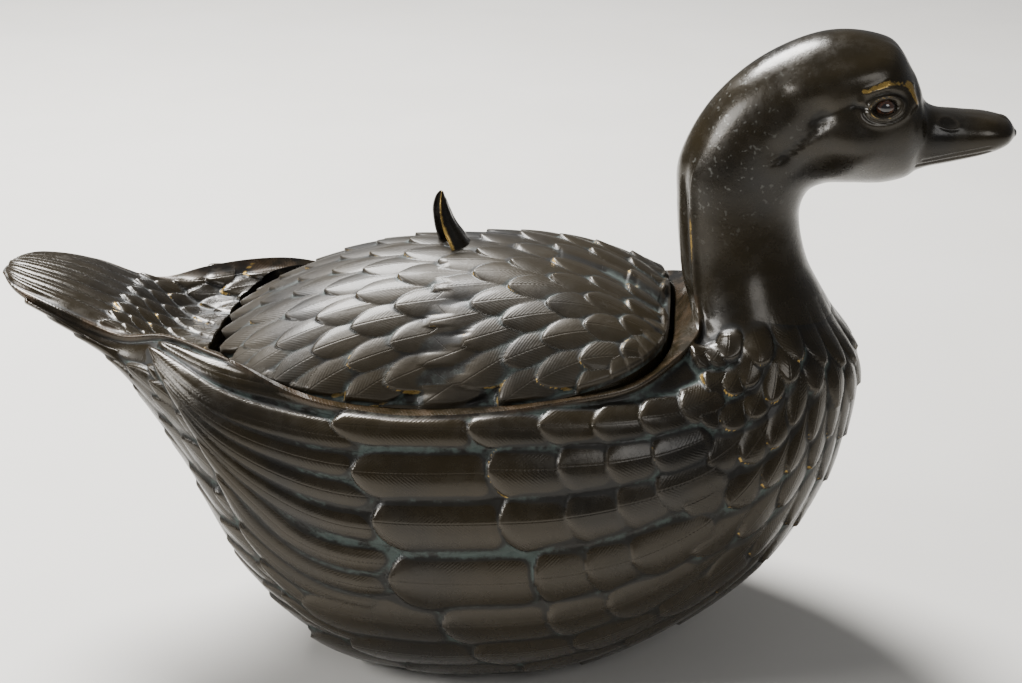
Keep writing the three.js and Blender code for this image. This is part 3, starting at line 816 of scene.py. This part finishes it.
def spot(points, centre, radii):
    """A soft round swelling, the same on both sides of the head."""
    place = np.stack([points[..., 0], np.abs(points[..., 1]), points[..., 2]], -1)
    return np.exp(-((((place - centre) / radii) ** 2).sum(-1)))


def stroke(points, start, end, width):
    """A soft line seen from the side between two points given as x, z."""
    start, leg = np.array(start), np.array(end) - np.array(start)
    offset = points[..., [0, 2]] - start
    t = np.clip((offset @ leg) / (leg @ leg), 0, 1)
    apart = np.linalg.norm(offset - t[..., None] * leg, axis=-1)
    return bell(apart, width) * smooth((np.abs(points[..., 1]) - 2) / 2)


def strokes(points, corners, *widths):
    """Strokes joined end to end, each with its own width."""
    return sum(stroke(points, *leg) for leg in zip(corners, corners[1:], widths))


BROW = ((82.8, 139.9), (87.5, 141.3), (92.4, 140.6), (93.8, 136.8))
RUBBED_BROW = ((82.4, 140.2), (88, 141.9), (91.6, 141.2), (94, 137.2))
CHEEK_CREASE = ((73.5, 134.6), (66.2, 126.0))
HAIRS = {"count": 20, "x": 75.5, "z": 133.5, "step": (0.5, 0.48), "reach": (2.3, 1.3), "zigzag": 0.9}


def eye_almond(points):
    """The distance from the eye's middle, counted in half lengths of the eyelids' almond."""
    across, up = points[..., 0] - EYE["x"], points[..., 2] - EYE["z"]
    length, height = EYE["lid"]
    return np.sqrt((across / length) ** 2 + ((up - EYE["slant"] * across) / height) ** 2)


def eyelids(almond):
    """The socket, the lids' rim round it, and a fold outside the rim."""
    rim = 0.95 * bell(almond - 1.25, 0.3)
    socket = 0.8 * smooth((1.05 - almond) / 0.4)
    return rim - socket + 0.35 * bell(almond - 2.0, 0.35) - 0.3 * bell(almond - 1.65, 0.2)


def brow_and_cheek(points):
    """The raised brow, the eye's tear corner, the cheek, the skull's long ridge and the creases behind."""
    height = -0.5 * stroke(points, (84.6, 136.6), (80.6, 137.2), 0.5)
    height += 0.55 * np.minimum(strokes(points, BROW, 0.75, 0.8, 0.7), 1.2)
    height += 2.5 * spot(points, (81.8, 13.5, 128.6), (7.8, 8, 6.2))
    height += 0.9 * stroke(points, (69.6, 139.8), (87.5, 144.8), 3.2)
    height -= 0.55 * stroke(points, (80.6, 137.2), (72.5, 133.8), 1.5)
    return height - 1.1 * stroke(points, *CHEEK_CREASE, 2.6)


def bill_details(points):
    """The bill's soft collar, its mouth line with a fold above it, its ridge, nostril and nail."""
    x, y, z = points[..., 0], np.abs(points[..., 1]), points[..., 2]
    height = -0.2 * bell(x - (96.6 + 0.9 * np.cos((z - 131) * 0.35)), 1.2) * smooth((138 - z) / 2)
    height -= 0.42 * stroke(points, (95.9, 121.9), (111.5, 125.4), 0.32)
    height -= 0.2 * stroke(points, (97.0, 123.4), (111.0, 126.8), 0.28)
    height += 0.15 * stroke(points, (97.5, 134.8), (112.5, 131.6), 0.6)
    nostril = np.sqrt(((x - 101.9) / 2.3) ** 2 + ((z - 131.6 + 0.12 * (x - 101.9)) / 1.05) ** 2)
    height += smooth((y - 1.5) / 1.5) * (0.2 * bell(nostril - 1.0, 0.3) - 0.22 * bell(nostril, 0.6))
    nail = np.sqrt((x - 114.4) ** 2 + y**2)
    return height + 0.16 * bell(nail - 0.9, 0.3) * smooth((z - 129.5) / 1)


def hairs(points):
    """Short slanting strokes in a zigzag row down the crease behind the cheek."""
    height = np.zeros(points.shape[:-1])
    reach_x, reach_z = HAIRS["reach"]
    step_x, step_z = HAIRS["step"]
    for index in range(HAIRS["count"]):
        x = HAIRS["x"] - step_x * index + HAIRS["zigzag"] * (1 - index % 3)
        z = HAIRS["z"] - step_z * index
        height -= 0.14 * stroke(points, (x, z), (x - reach_x, z - reach_z), 0.3)
    return height


def chasing(points):
    """Heights of the details cut into the head casting, and where its brow and eyelids are rubbed."""
    beside = smooth((np.abs(points[..., 1]) - 4) / 3)
    almond = eye_almond(points)
    height = beside * eyelids(almond) + brow_and_cheek(points) + bill_details(points) + hairs(points)
    rubbed = strokes(points, RUBBED_BROW, 0.5, 0.5, 0.5) + 0.4 * bell(almond - 1.22, 0.12) * beside
    return height, rubbed


def crease(station, span):
    """The ridge along both edges of the hollow back of the neck."""
    return 0.9 * bell(span, 1.3) * smooth((station - 11.9) / 0.8) * smooth((17.5 - station) / 2)


def nape(share, station):
    """The two grooves between the creases and the middle of the neck's back, fading out up the neck."""
    grooves = bell(share - 0.17, 0.1) + bell(share - 0.83, 0.1)
    return -1.2 * grooves * smooth((station - NECK_BACK) / 1.2) * smooth((18 - station) / 2.5)


# ---- The body casting --------------------------------------------------------------------------------


def edge_span(share, station):
    """The distance of a point of the side from its nearest edge."""
    return np.linalg.norm(side_point(station, share) - side_point(station, np.sign(share)), axis=-1)


def with_cap(points, reach=0.5):
    """Closes the first row of a grid with rows that shrink to its middle."""
    middle = points[0].mean(0)
    rows = [middle + (points[0] - middle) * t for t in (0.02, 0.35, 0.65, 0.88)]
    for row, t in zip(rows, (0.02, 0.35, 0.65, 0.88)):
        row[:, 0] -= reach * math.sqrt(1 - t * t)
    return np.concatenate([np.array(rows), points])


def extended(values, shape, before=0, after=0):
    """A grid's values with its first or last row repeated over a cap."""
    pad = ((before, after), (0, 0))
    return {name: np.pad(np.reshape(value, shape), pad, mode="edge") for name, value in values.items()}


def ring(shape, grow, z, count=360):
    x, y, _ = oval(shape, np.linspace(0, 2 * np.pi, count, endpoint=False), grow=grow)
    return np.stack([x, y, np.broadcast_to(z, x.shape)], -1)


def rim_height(x, y):
    """The height of the body's top over a place in plan, with the hollow between its edges."""
    station = np.interp(x, RIM_X, RIM_STATIONS)
    edge = side_point(station, np.ones_like(station))
    t = np.clip((1 - y / edge[..., 1]) / 2, 0, 1)
    return edge[..., 2] + np.minimum(through(STATIONS, station)[..., 8], 0) * hollow(t)


RIM_STATIONS = np.linspace(2, 12.6, CURVE_SAMPLES // 2)
RIM_X = side_point(RIM_STATIONS, np.ones_like(RIM_STATIONS))[:, 0]


def rim_loop(count):
    """The outer edge of the rim round the mouth, matched to the mouth's own points by direction."""
    stations = np.linspace(TAIL_END, NECK_BACK, 1200)
    right = side_point(stations, np.full_like(stations, -1.0))
    left = side_point(stations, np.full_like(stations, 1.0))
    across = np.linspace(0, 1, 200)
    rear = top_point(np.full_like(across, TAIL_END), across)
    front = top_point(np.full_like(across, NECK_BACK), across)
    loop = np.concatenate([right, front[::-1], left[::-1], rear])
    turn = np.unwrap(np.arctan2(loop[:, 1] / MOUTH["width"], (loop[:, 0] - MOUTH["x"]) / MOUTH["rear"]))
    order = np.argsort(turn)
    wanted = ring(MOUTH, 0, 0, count)
    aim = np.arctan2(wanted[:, 1] / MOUTH["width"], (wanted[:, 0] - MOUTH["x"]) / MOUTH["rear"])
    aim = np.mod(aim - turn[order][0], 2 * np.pi) + turn[order][0]
    return np.stack([np.interp(aim, turn[order], loop[order, k]) for k in range(3)], -1)


def bowl_ring(z, count):
    """The bowl's inner wall at a height, inside the form's own section there."""
    keel = form_point(np.linspace(3, 12, 400), np.zeros(400))
    rear, front = keel[keel[:, 0] < 0], keel[keel[:, 0] > 0]
    rear_x = np.interp(z, rear[::-1, 2], rear[::-1, 0])
    front_x = np.interp(z, front[:, 2], front[:, 0])
    widest = form_point(np.full(300, 8.0), np.linspace(0, 2.2, 300))
    width = np.interp(z, widest[:, 2], widest[:, 1])
    half = (front_x - rear_x) / 2
    middle = (rear_x + front_x) / 2
    shape = {"x": middle, "rear": half, "front": half, "width": width}
    shape["rear_power"] = shape["front_power"] = BOWL_POWER
    return ring(shape, -WALL - 1.5, z, count)


def body_side(shell):
    stations = stations_apart(0, NECK_JOINT, 0.5)
    share = np.linspace(-1, 1, 480)
    u, s = np.meshgrid(stations, share, indexing="ij")
    points = side_point(u, s)
    normals = grid_normals(points)
    relief = Relief(points, normals)
    body_feathers(relief)
    span = edge_span(s, u)
    floor = RELIEF_FLOOR * smooth((BREAST_TIPS[0] - u) / 0.9)
    fade = smooth((span - 0.3) / 1.4) * smooth(points[..., 2] / 3)
    height = (relief.height.reshape(u.shape) - floor) * fade
    height += crease(u, span)
    brown = 0.7 * smooth((3.4 - u) / 1.5) * smooth((6 - span) / 3) + 0.8 * smooth((1.6 - span) / 1.2)
    raised = points + normals * height[..., None]
    raised[..., 2] = np.maximum(raised[..., 2], 0)
    values = finish_values(relief, height, brown=brown)
    capped = with_cap(raised)
    shell.grid(capped, **extended(values, u.shape, before=len(capped) - len(raised)))


def body_tops(shell):
    """The tail's flat top and the little saddle between the mouth and the neck."""
    for start, end, spacing in ((0, TAIL_END, 0.5), (NECK_BACK, NECK_JOINT, 0.6)):
        stations = stations_apart(start, end, spacing)
        u, s = np.meshgrid(stations, np.linspace(0, 1, 110), indexing="ij")
        top = top_point(u, s)
        normals = grid_normals(top)
        relief = Relief(top, normals)
        height = np.zeros(u.shape)
        brown = np.zeros(u.shape)
        if start == 0:
            tail_feathers(relief)
            height = relief.height.reshape(u.shape) * smooth((np.minimum(s, 1 - s) - 0.01) / 0.06)
            brown = 0.8 * smooth((0.06 - np.minimum(s, 1 - s)) / 0.05)
        else:
            height += nape(s, u)
        raised = top + normals * height[..., None]
        values = finish_values(relief, height, brown=brown)
        if start == 0:
            capped = with_cap(raised)
            values = extended(values, u.shape, before=len(capped) - len(raised))
            raised = capped
        shell.grid(raised, **values)


def body_mouth(shell, count=600):
    """The rim, the wall down to the ledge the lid stands on, and the bowl under it."""
    outer = rim_loop(count)
    inner = ring(MOUTH, 0, 0, count)
    rows = []
    for t in np.linspace(0, 1, 12):
        row = outer + (inner - outer) * t
        row[:, 2] = rim_height(row[:, 0], row[:, 1])
        row[:, 2] += (outer[:, 2] - rim_height(outer[:, 0], outer[:, 1])) * (1 - t) ** 2
        rows.append(row)
    band = np.array(rows)
    normals = grid_normals(band)
    normals *= np.sign(normals[..., 2:3])
    relief = Relief(band, normals)
    tail_feathers(relief)
    edge = np.abs(side_point(np.interp(band[..., 0], RIM_X, RIM_STATIONS), np.ones(band.shape[:2]))[..., 1])
    saddle = smooth((edge - np.abs(band[..., 1]) - 2.5) / 2) * smooth((-54 - band[..., 0]) / 3)
    height = relief.height.reshape(band.shape[:2]) * saddle
    band += normals * height[..., None]
    brown = 0.9 * (1 - saddle)
    shell.grid(band, closed=True, flip=True, **finish_values(relief, height, brown=brown))
    lip = band[-1].copy()
    rows = [lip]
    soft = ring(MOUTH, -0.25, 0, count)
    soft[:, 2] = lip[:, 2] - 0.35
    rows.append(soft)
    for t in np.linspace(0, 1, 10)[1:]:
        wall = ring(MOUTH, 0, 0, count)
        wall[:, 2] = soft[:, 2] * (1 - t) + LEDGE["top"] * t
        rows.append(wall)
    ledge = -LEDGE["overlap"]
    rows.append(ring(LID, ledge, LEDGE["top"], count))
    rows.append(ring(LID, ledge, LEDGE["top"] - LEDGE["thickness"], count))
    for z in np.linspace(LEDGE["top"] - LEDGE["thickness"] - 0.5, FOOT["floor"] + 0.5, 24):
        rows.append(bowl_ring(z, count))
    turn = np.linspace(0, 2 * np.pi, count, endpoint=False)
    last = rows[-1]
    hole = np.stack([FOOT["x"] + FOOT["core_hole"] * np.cos(turn), FOOT["core_hole"] * np.sin(turn)], -1)
    hole = np.column_stack([hole, np.full(count, FOOT["floor"])])
    for t in (0.8, 0.4, 0.0):
        rows.append(last * t + hole * (1 - t))
    dirty = np.array([BOWL_DIRT * (row[0, 2] < BOWL_DIRT_TOP) for row in rows])[:, None]
    shell.grid(np.array(rows), closed=True, flip=True, cavity=dirty * np.ones((1, count)))


def body_foot(shell):
    """The round recess in the foot and the hole above it, in place of the side's own faces there."""
    seam = FOOT["recess"] + 1.4

    def in_foot(middles):
        out = np.hypot(middles[:, 0] - FOOT["x"], middles[:, 1])
        return (out < seam) & (middles[:, 2] < 1)

    shell.drop(in_foot)
    profile = [
        (seam + 1.2, 0.02),
        (FOOT["recess"] + 0.3, 0),
        (FOOT["recess"], 0.3),
        (FOOT["recess"], FOOT["depth"]),
        (FOOT["core_hole"], FOOT["depth"]),
        (FOOT["core_hole"], FOOT["floor"]),
    ]
    shell.turned(profile, x=FOOT["x"], sides=144, cavity=0.3)


def deck_lugs(shell):
    """The lugs that carry the deck, one under each screw."""
    top = DECK["top"] - DECK["thickness"] - GAP
    for x, y in DECK_SCREWS:
        side = math.copysign(1, y)
        width, inner = LUG["width"], LUG["inner"]
        outer = LUG["front_outer"] if x > 0 else LUG["rear_outer"]
        low = top - LUG["height"]
        rows = []
        for z, reach in ((low, 0.8), (low + 0.8, 0), (top - 0.5, 0), (top, 0.5), (top, 3)):
            turn = np.linspace(0, 2 * np.pi, 48, endpoint=False)
            across = signed_power(np.cos(turn), 0.4) * (width - reach * 0.6)
            out = (inner + outer) / 2 + signed_power(np.sin(turn), 0.4) * ((outer - inner) / 2 - reach)
            rows.append(np.stack([x + across, side * out, np.full(48, z)], -1))
        shell.grid(np.array(rows), closed=True, flip=side > 0)


def build_body():
    shell = Shell()
    body_side(shell)
    body_foot(shell)
    body_tops(shell)
    body_mouth(shell)
    deck_lugs(shell)
    shell.build("duck_body_casting", bronze, "duck", "body_casting")


def build_neck():
    """Neck, head and bill as one closed grid round the form."""
    shell = Shell()
    stations = stations_apart(NECK_JOINT, BILL_TIP, 0.42)
    u, s = np.meshgrid(stations, np.linspace(-1, 1, 220), indexing="ij")
    v, t = np.meshgrid(stations, np.linspace(0, 1, 64)[1:-1], indexing="ij")
    points = np.concatenate([side_point(u, s), top_point(v, t)], axis=1)
    looped = np.concatenate([points[:, -3:], points, points[:, :3]], axis=1)
    normals = grid_normals(looped)[:, 3:-3]
    relief = Relief(points, normals)
    body_feathers(relief)
    height = relief.height.reshape(points.shape[:2])
    chased, rubbed = chasing(points)
    height += chased
    sides = u.shape[1]
    span = edge_span(s, u)
    height[:, :sides] += crease(u, span)
    height[:, sides:] += nape(t, v)
    values = finish_values(relief, height)
    values["cavity"] = values["cavity"] * 0.3
    values["wear"] = values["wear"].reshape(points.shape[:2]) + np.clip(1.7 * rubbed, 0, 1.4)
    values["wear"][:, :sides] += 1.1 * bell(span, 0.5) * bell(u - 15.5, 0.7)
    values["along"] = np.zeros(points.shape[:2])
    raised = points + normals * height[..., None]
    capped = with_cap(raised[::-1], -0.4)[::-1]
    values = extended(values, points.shape[:2], after=len(capped) - len(raised))
    shell.grid(capped, closed=True, **values)
    shell.build("duck_neck_and_head", bronze, "duck", "neck_and_head")


def build_eyes():
    for name, side in (("right_eye", -1), ("left_eye", 1)):
        shell = Shell()
        turn = np.linspace(0, 2 * np.pi, 64, endpoint=False)
        tilt = np.linspace(0.001, np.pi - 0.001, 40)
        a, b = np.meshgrid(tilt, turn, indexing="ij")
        length, depth, height = EYE["ball"]
        x = EYE["x"] + length * np.sin(a) * np.cos(b)
        y = side * (EYE["y"] + depth * np.cos(a))
        z = EYE["z"] + height * np.sin(a) * np.sin(b)
        shell.grid(np.stack([x, y, z], -1), closed=True, flip=side < 0)
        shell.build("glass_" + name, eye_glass, "duck", name)


# ---- The lid -----------------------------------------------------------------------------------------


def lid_feathers(relief):
    """Staggered rows of pointed feathers, evenly spaced over the dome's girth and fanned to its sides."""
    plan = np.linspace(0, LID["width"] - 0.05, 400)
    girth = dome_over(np.full(400, HANDLE_X), plan)
    arc = np.concatenate([[0], np.cumsum(np.linalg.norm(np.diff(girth, axis=0), axis=1))])
    spacing, length = 9.6, 27.0
    for row, tip_x in enumerate(np.arange(-63, 52, 8.6)):
        for column in range(-6, 7):
            place = spacing * (column + 0.5 * (row % 2))
            if abs(place) > arc[-1] + 2:
                continue
            y = math.copysign(np.interp(abs(place), arc, plan), place)
            fan = 0.36 * y / LID["width"] + rng.normal(0, 0.03)
            t = np.linspace(0, 1, 9)
            x = tip_x + rng.normal(0, 0.35) + length * (1 - t)
            lateral = y - fan * length * (1 - t) * np.abs(y) / LID["width"]
            spine = dome_over(x, lateral)
            ups = spine_normals(dome_over, x, lateral, 0.3)
            ups *= np.sign(ups[:, 2:3])
            look = {"lift": 1.7, "crown": 0.9, "blunt": 1.9, "root": 0.65, "belly": 0.6, "edge": 1.1}
            relief.feather(spine, ups, 5.7, gilt=0.4, **look)


def build_lid():
    shell = Shell()
    count = 680
    share = np.linspace(0.004, 1, 190) ** 0.85
    angle = np.linspace(0, 2 * np.pi, count, endpoint=False)
    r, a = np.meshgrid(share, angle, indexing="ij")
    points = dome_point(r, a)
    looped = np.concatenate([points[:, -3:], points, points[:, :3]], axis=1)
    normals = -grid_normals(looped)[:, 3:-3]
    relief = Relief(points, normals)
    lid_feathers(relief)
    rear = smooth((-44 - points[..., 0]) / 9)
    fade = np.maximum(smooth((1 - r) / 0.02), rear)
    height = (relief.height.reshape(r.shape) - 1.1) * fade
    values = finish_values(relief, height, matte=np.ones(r.shape))
    shell.grid(points + normals * height[..., None], closed=True, flip=True, **values)
    low = LEDGE["top"] + GAP
    lip = -LEDGE["overlap"] - LIP["play"]
    overhang = points[-1] + normals[-1] * height[-1][:, None]
    tucked = 0.5 * (points[-1] + ring(LID, 0, low, count))
    soft = 0.3
    rows = [overhang, tucked, ring(LID, 0, low + soft, count), ring(LID, -soft, low, count)]
    rows.append(ring(LID, lip, low, count))
    rows.append(ring(LID, lip, low - LIP["depth"] + soft, count))
    rows.append(ring(LID, lip - soft, low - LIP["depth"], count))
    rows.append(ring(LID, lip - LIP["width"], low - LIP["depth"], count))
    rows.append(ring(LID, lip - LIP["width"], low, count))
    for t in np.linspace(0.97, 0.01, 24):
        rows.append(dome_point(np.full(count, t), angle, LID_THICKNESS))
    shell.grid(np.array(rows), closed=True, flip=True)
    shell.build("duck_lid", bronze, "lid_body", "lid")


# The handle's spine from its root in the lid to its tip, as x, z, with its section's radius and thickness
HANDLE_SPINE = np.array(
    [
        (-8.4, 95.4, 5.1, 2.4),
        (-9.3, 97.1, 4.9, 2.2),
        (-10.0, 98.8, 4.6, 2.1),
        (-11.0, 101.3, 4.0, 1.8),
        (-11.7, 104.0, 3.35, 1.5),
        (-12.0, 106.5, 2.8, 1.2),
        (-11.8, 109.1, 1.8, 0.8),
        (-11.3, 110.9, 0.6, 0.4),
    ]
)
HANDLE_TWIST = 25  # degrees that the hollow of the curl turns towards the duck's right side


def build_finial():
    """A curled feather, crescent in section, with its stud through the lid."""
    shell = Shell()
    rows, cavity, wear = [], [], []
    for station in np.linspace(0, len(HANDLE_SPINE) - 1, 90):
        x, z, radius, thick = through(HANDLE_SPINE, station)
        ahead = through(HANDLE_SPINE, station + 0.01) - through(HANDLE_SPINE, station - 0.01)
        ahead = ahead[:2] / np.linalg.norm(ahead[:2])
        twist = math.radians(HANDLE_TWIST)
        out = np.array([ahead[1], 0, -ahead[0]])
        facing = out * math.cos(twist) + np.array([0, math.sin(twist), 0])
        edgewise = np.array([0, math.cos(twist), 0]) - out * math.sin(twist)
        turn = np.linspace(-1.75, 1.75, 40)
        back = radius * (np.cos(turn)[:, None] * facing + np.sin(turn)[:, None] * edgewise)
        inner = radius - thick * (0.35 + 0.65 * np.cos(turn * 0.85))
        front = inner[:, None] * (np.cos(turn)[:, None] * facing * 0.9 + np.sin(turn)[:, None] * edgewise)
        grooved = 0.12 * np.cos(turn * 7) * min(radius / 3, 1)
        back *= (1 + grooved / radius)[:, None]
        rows.append(np.array([x, 0, z]) + np.concatenate([back, front[::-1]]))
        cavity.append(np.concatenate([np.zeros(40), 0.9 * np.cos(turn * 0.8) ** 2]))
        near_edge = bell(turn - 1.75, 0.12) * 0.3 + bell(turn + 1.75, 0.25)
        wear.append(np.concatenate([near_edge, near_edge[::-1]]))
    grid = np.array(rows)
    tip = grid[-1].mean(0)
    for t in (0.6, 0.02):
        closing = tip + (grid[-1] - tip) * t + np.array([-0.03, 0, 0.25]) * (1 - t)
        grid = np.concatenate([grid, closing[None]])
        cavity.append(cavity[-1])
        wear.append(wear[-1])
    shell.grid(grid, closed=True, cavity=np.array(cavity), wear=np.array(wear))
    stud = HANDLE["stud_radius"]
    low = HANDLE["crown"] - HANDLE["stud_length"]
    profile = rounded([(0.02, low), (stud, low), (stud, HANDLE["crown"])], 0.4)
    shell.turned(profile, x=HANDLE_X, sides=40, polish=0.4)
    shell.build("duck_lid_finial", bronze, "lid_body", "lid_finial")


# ---- The works inside --------------------------------------------------------------------------------


def hexagon(corner):
    """How far out of a circle a hexagon's side lies, never past the radius it starts from."""

    def squeeze(radius, angle):
        side = corner * math.cos(math.pi / 6) / np.cos(np.mod(angle, math.pi / 3) - math.pi / 6)
        return np.minimum(radius, side) / radius

    return squeeze


def build_nut():
    high = HANDLE["crown"] - LID_THICKNESS - 1
    low = high - HANDLE["nut_height"]
    radius, hole = HANDLE["nut_radius"], HANDLE["stud_radius"] + GAP
    flat, chamfer = radius * 0.88, 0.45
    corners = [(hole, high), (hole + 0.2, high), (flat, high), (radius, high - chamfer)]
    corners += [(radius, low + chamfer), (flat, low), (hole + 0.2, low), (hole, low + 0.2), (hole, high)]
    shell = Shell()
    shell.turned(rounded(corners, 0.15)[::-1], x=HANDLE_X, sides=144, squeeze=hexagon(radius))
    shell.build("brass_finial_nut", brass, "lid_body", "finial_nut")


def build_pots():
    inside, depth, round_corner = POTS["radius"] - POTS["wall"], POTS["depth"], 3.4
    bottom = POTS["wall"] - depth
    foot = [(0.02, 0.7 - depth), (11.5, 0.7 - depth), (12.2, -depth), (POTS["radius"] - 2.4, -depth)]
    side = [(POTS["radius"], 2.8 - depth), (POTS["radius"], -0.05), (FLANGE["radius"], -0.05)]
    top = [(FLANGE["radius"], FLANGE["thickness"]), (inside, FLANGE["thickness"])]
    well = [(inside, bottom), (0.02, bottom)]
    profile = rounded(foot + side + top, 0.9) + rounded([top[-1]] + well, round_corner, 9)
    for name, x in (("front_ink_pot", POTS["front"]), ("rear_ink_pot", POTS["rear"])):
        shell = Shell()
        inked = [float(radius <= inside + 0.9 and z > bottom - 0.1) for radius, z in profile]
        stain = np.repeat(np.array(inked)[:, None], 128, axis=1)
        shell.turned(profile, x=x, z=DECK["top"] + GAP, sides=128, shade=stain)
        body = "front_pot" if name.startswith("front") else "rear_pot"
        shell.build("porcelain_" + name, porcelain, body, name)


def screw(name, node, x, y, z, length, up):
    """A slotted cheese-head screw: up is 1 for a head above z and -1 for one below it."""
    shell = Shell()
    head, tall, shank = SCREW["head"], SCREW["head_height"], SCREW["shank"]
    turn = np.linspace(0, 2 * np.pi, 96, endpoint=False)
    face = np.linspace(0.01, head - 0.2, 16)
    radius, angle = np.meshgrid(face, turn, indexing="ij")
    slot = smooth((0.42 - np.abs(radius * np.sin(angle + 0.6 * x))) / 0.12)
    crown = tall + 0.12 * (1 - (radius / head) ** 2) - 0.45 * slot
    top = np.stack([x + radius * np.cos(angle), y + radius * np.sin(angle), z + up * crown], -1)
    shell.grid(top, closed=True, flip=up < 0)
    threads = [(shank * (1 - 0.12 * (k % 2)), -0.3 - k * (length - 0.8) / 24) for k in range(25)]
    profile = [(head - 0.2, tall), (head, tall - 0.2), (head, 0), (shank, 0)] + threads + [(0.02, -length)]
    profile = [(r, up * h) for r, h in profile]
    shell.turned(profile[::up], x=x, y=y, z=z, sides=48)
    shell.build(name, brass, "duck", node)


def foot_screw_places():
    for turn in np.radians([0, 120, 240]):
        yield FOOT["x"] + FOOT_SCREW_RING * math.cos(turn), FOOT_SCREW_RING * math.sin(turn)


def build_works():
    edge = ring(LID, -LEDGE["overlap"] - DECK["play"], 0, 240)[:, :2]
    holes = [circle(POTS[end], 0, POTS["radius"] + GAP, 128) for end in ("front", "rear")]
    holes += [circle(x, y, SCREW["bore"], 32) for x, y in DECK_SCREWS]
    low = DECK["top"] - DECK["thickness"]
    pierced_plate("brass_well_deck", brass, "duck", "well_deck", [edge] + holes, low, DECK["top"])
    for index, (x, y) in enumerate(DECK_SCREWS, 1):
        node = f"deck_screw_{index}"
        screw("brass_" + node, node, x, y, DECK["top"] + GAP, SCREW["deck_length"], 1)
    places = list(foot_screw_places())
    plate = [circle(FOOT["x"], 0, FOOT["recess"] - GAP, 144)]
    plate += [circle(x, y, SCREW["bore"], 32) for x, y in places]
    pierced_plate("brass_base_plate", brass, "duck", "base_plate", plate, PLATE["low"], PLATE["high"])
    pad = [circle(FOOT["x"], 0, FOOT["recess"] - FELT["play"], 144)]
    pad += [circle(x, y, SCREW["head"] + GAP, 48) for x, y in places]
    pierced_plate("felt_base_pad", felt, "duck", "base_felt", pad, FELT["low"], FELT["high"], 0.2)
    for index, (x, y) in enumerate(places, 1):
        node = f"base_screw_{index}"
        screw("brass_" + node, node, x, y, PLATE["low"] - GAP, SCREW["foot_length"], -1)


def finish_collar():
    """The hidden sleeve in the neck keeps its own solid and takes the brass."""
    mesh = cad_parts["neck_collar"].data
    mesh.materials.clear()
    mesh.materials.append(brass)


build_body()
build_neck()
build_eyes()
build_lid()
build_finial()
build_nut()
build_pots()
build_works()
finish_collar()


# ---- Stage -------------------------------------------------------------------------------------------

LAMPS = (
    # name, place in metres, size in metres, watts
    ("soft_top", (-0.35, 0.4, 0.85), 0.45, 36.0),
    ("soft_left", (-0.95, -0.35, 0.6), 0.45, 10.0),
    ("soft_front", (0.5, -0.9, 0.75), 0.5, 2.5),
)


def studio():
    scene = bpy.context.scene
    paint = Nodes("stage_floor")
    cloudy = paint.ramp(paint.noise(9.0, 3.0), 0.3, 0.7)
    tone = paint.mix(cloudy, (0.60, 0.58, 0.54, 1), (0.63, 0.61, 0.57, 1))
    paint.finish(tone, 0.7)
    bpy.ops.mesh.primitive_plane_add(size=6)
    floor = bpy.context.object
    floor.name = "stage_floor_plane"
    floor.data.materials.append(paint.material)
    world = bpy.data.worlds.new("studio_world")
    world.use_nodes = True
    world.node_tree.nodes["Background"].inputs["Color"].default_value = (0.80, 0.82, 0.86, 1)
    world.node_tree.nodes["Background"].inputs["Strength"].default_value = 0.23
    scene.world = world
    for name, spot_place, size, power in LAMPS:
        lamp = bpy.data.lights.new(name, "AREA")
        lamp.shape = "DISK"
        lamp.size = size
        lamp.energy = power
        holder = bpy.data.objects.new(name, lamp)
        holder.location = spot_place
        toward = Vector((0, 0, 0.06)) - Vector(spot_place)
        holder.rotation_euler = toward.to_track_quat("-Z", "Y").to_euler()
        scene.collection.objects.link(holder)


# Where the camera stands: degrees round the duck and above it, metres away, where it looks, and its lens
CAMERA = {"azimuth": 5.5, "elevation": 22.5, "distance": 0.43, "aim": (0.005, 0, 0.0738), "lens": 63.3}


def camera():
    azimuth, elevation = math.radians(CAMERA["azimuth"]), math.radians(CAMERA["elevation"])
    aim = Vector(CAMERA["aim"])
    away = Vector(
        (
            math.sin(azimuth) * math.cos(elevation),
            -math.cos(azimuth) * math.cos(elevation),
            math.sin(elevation),
        )
    )
    data = bpy.data.cameras.new("photo_view")
    data.lens = CAMERA["lens"]
    data.sensor_width = 36
    holder = bpy.data.objects.new("photo_view", data)
    holder.location = aim + away * CAMERA["distance"]
    holder.rotation_euler = away.to_track_quat("Z", "Y").to_euler()
    bpy.context.scene.collection.objects.link(holder)
    bpy.context.scene.camera = holder


studio()
camera()
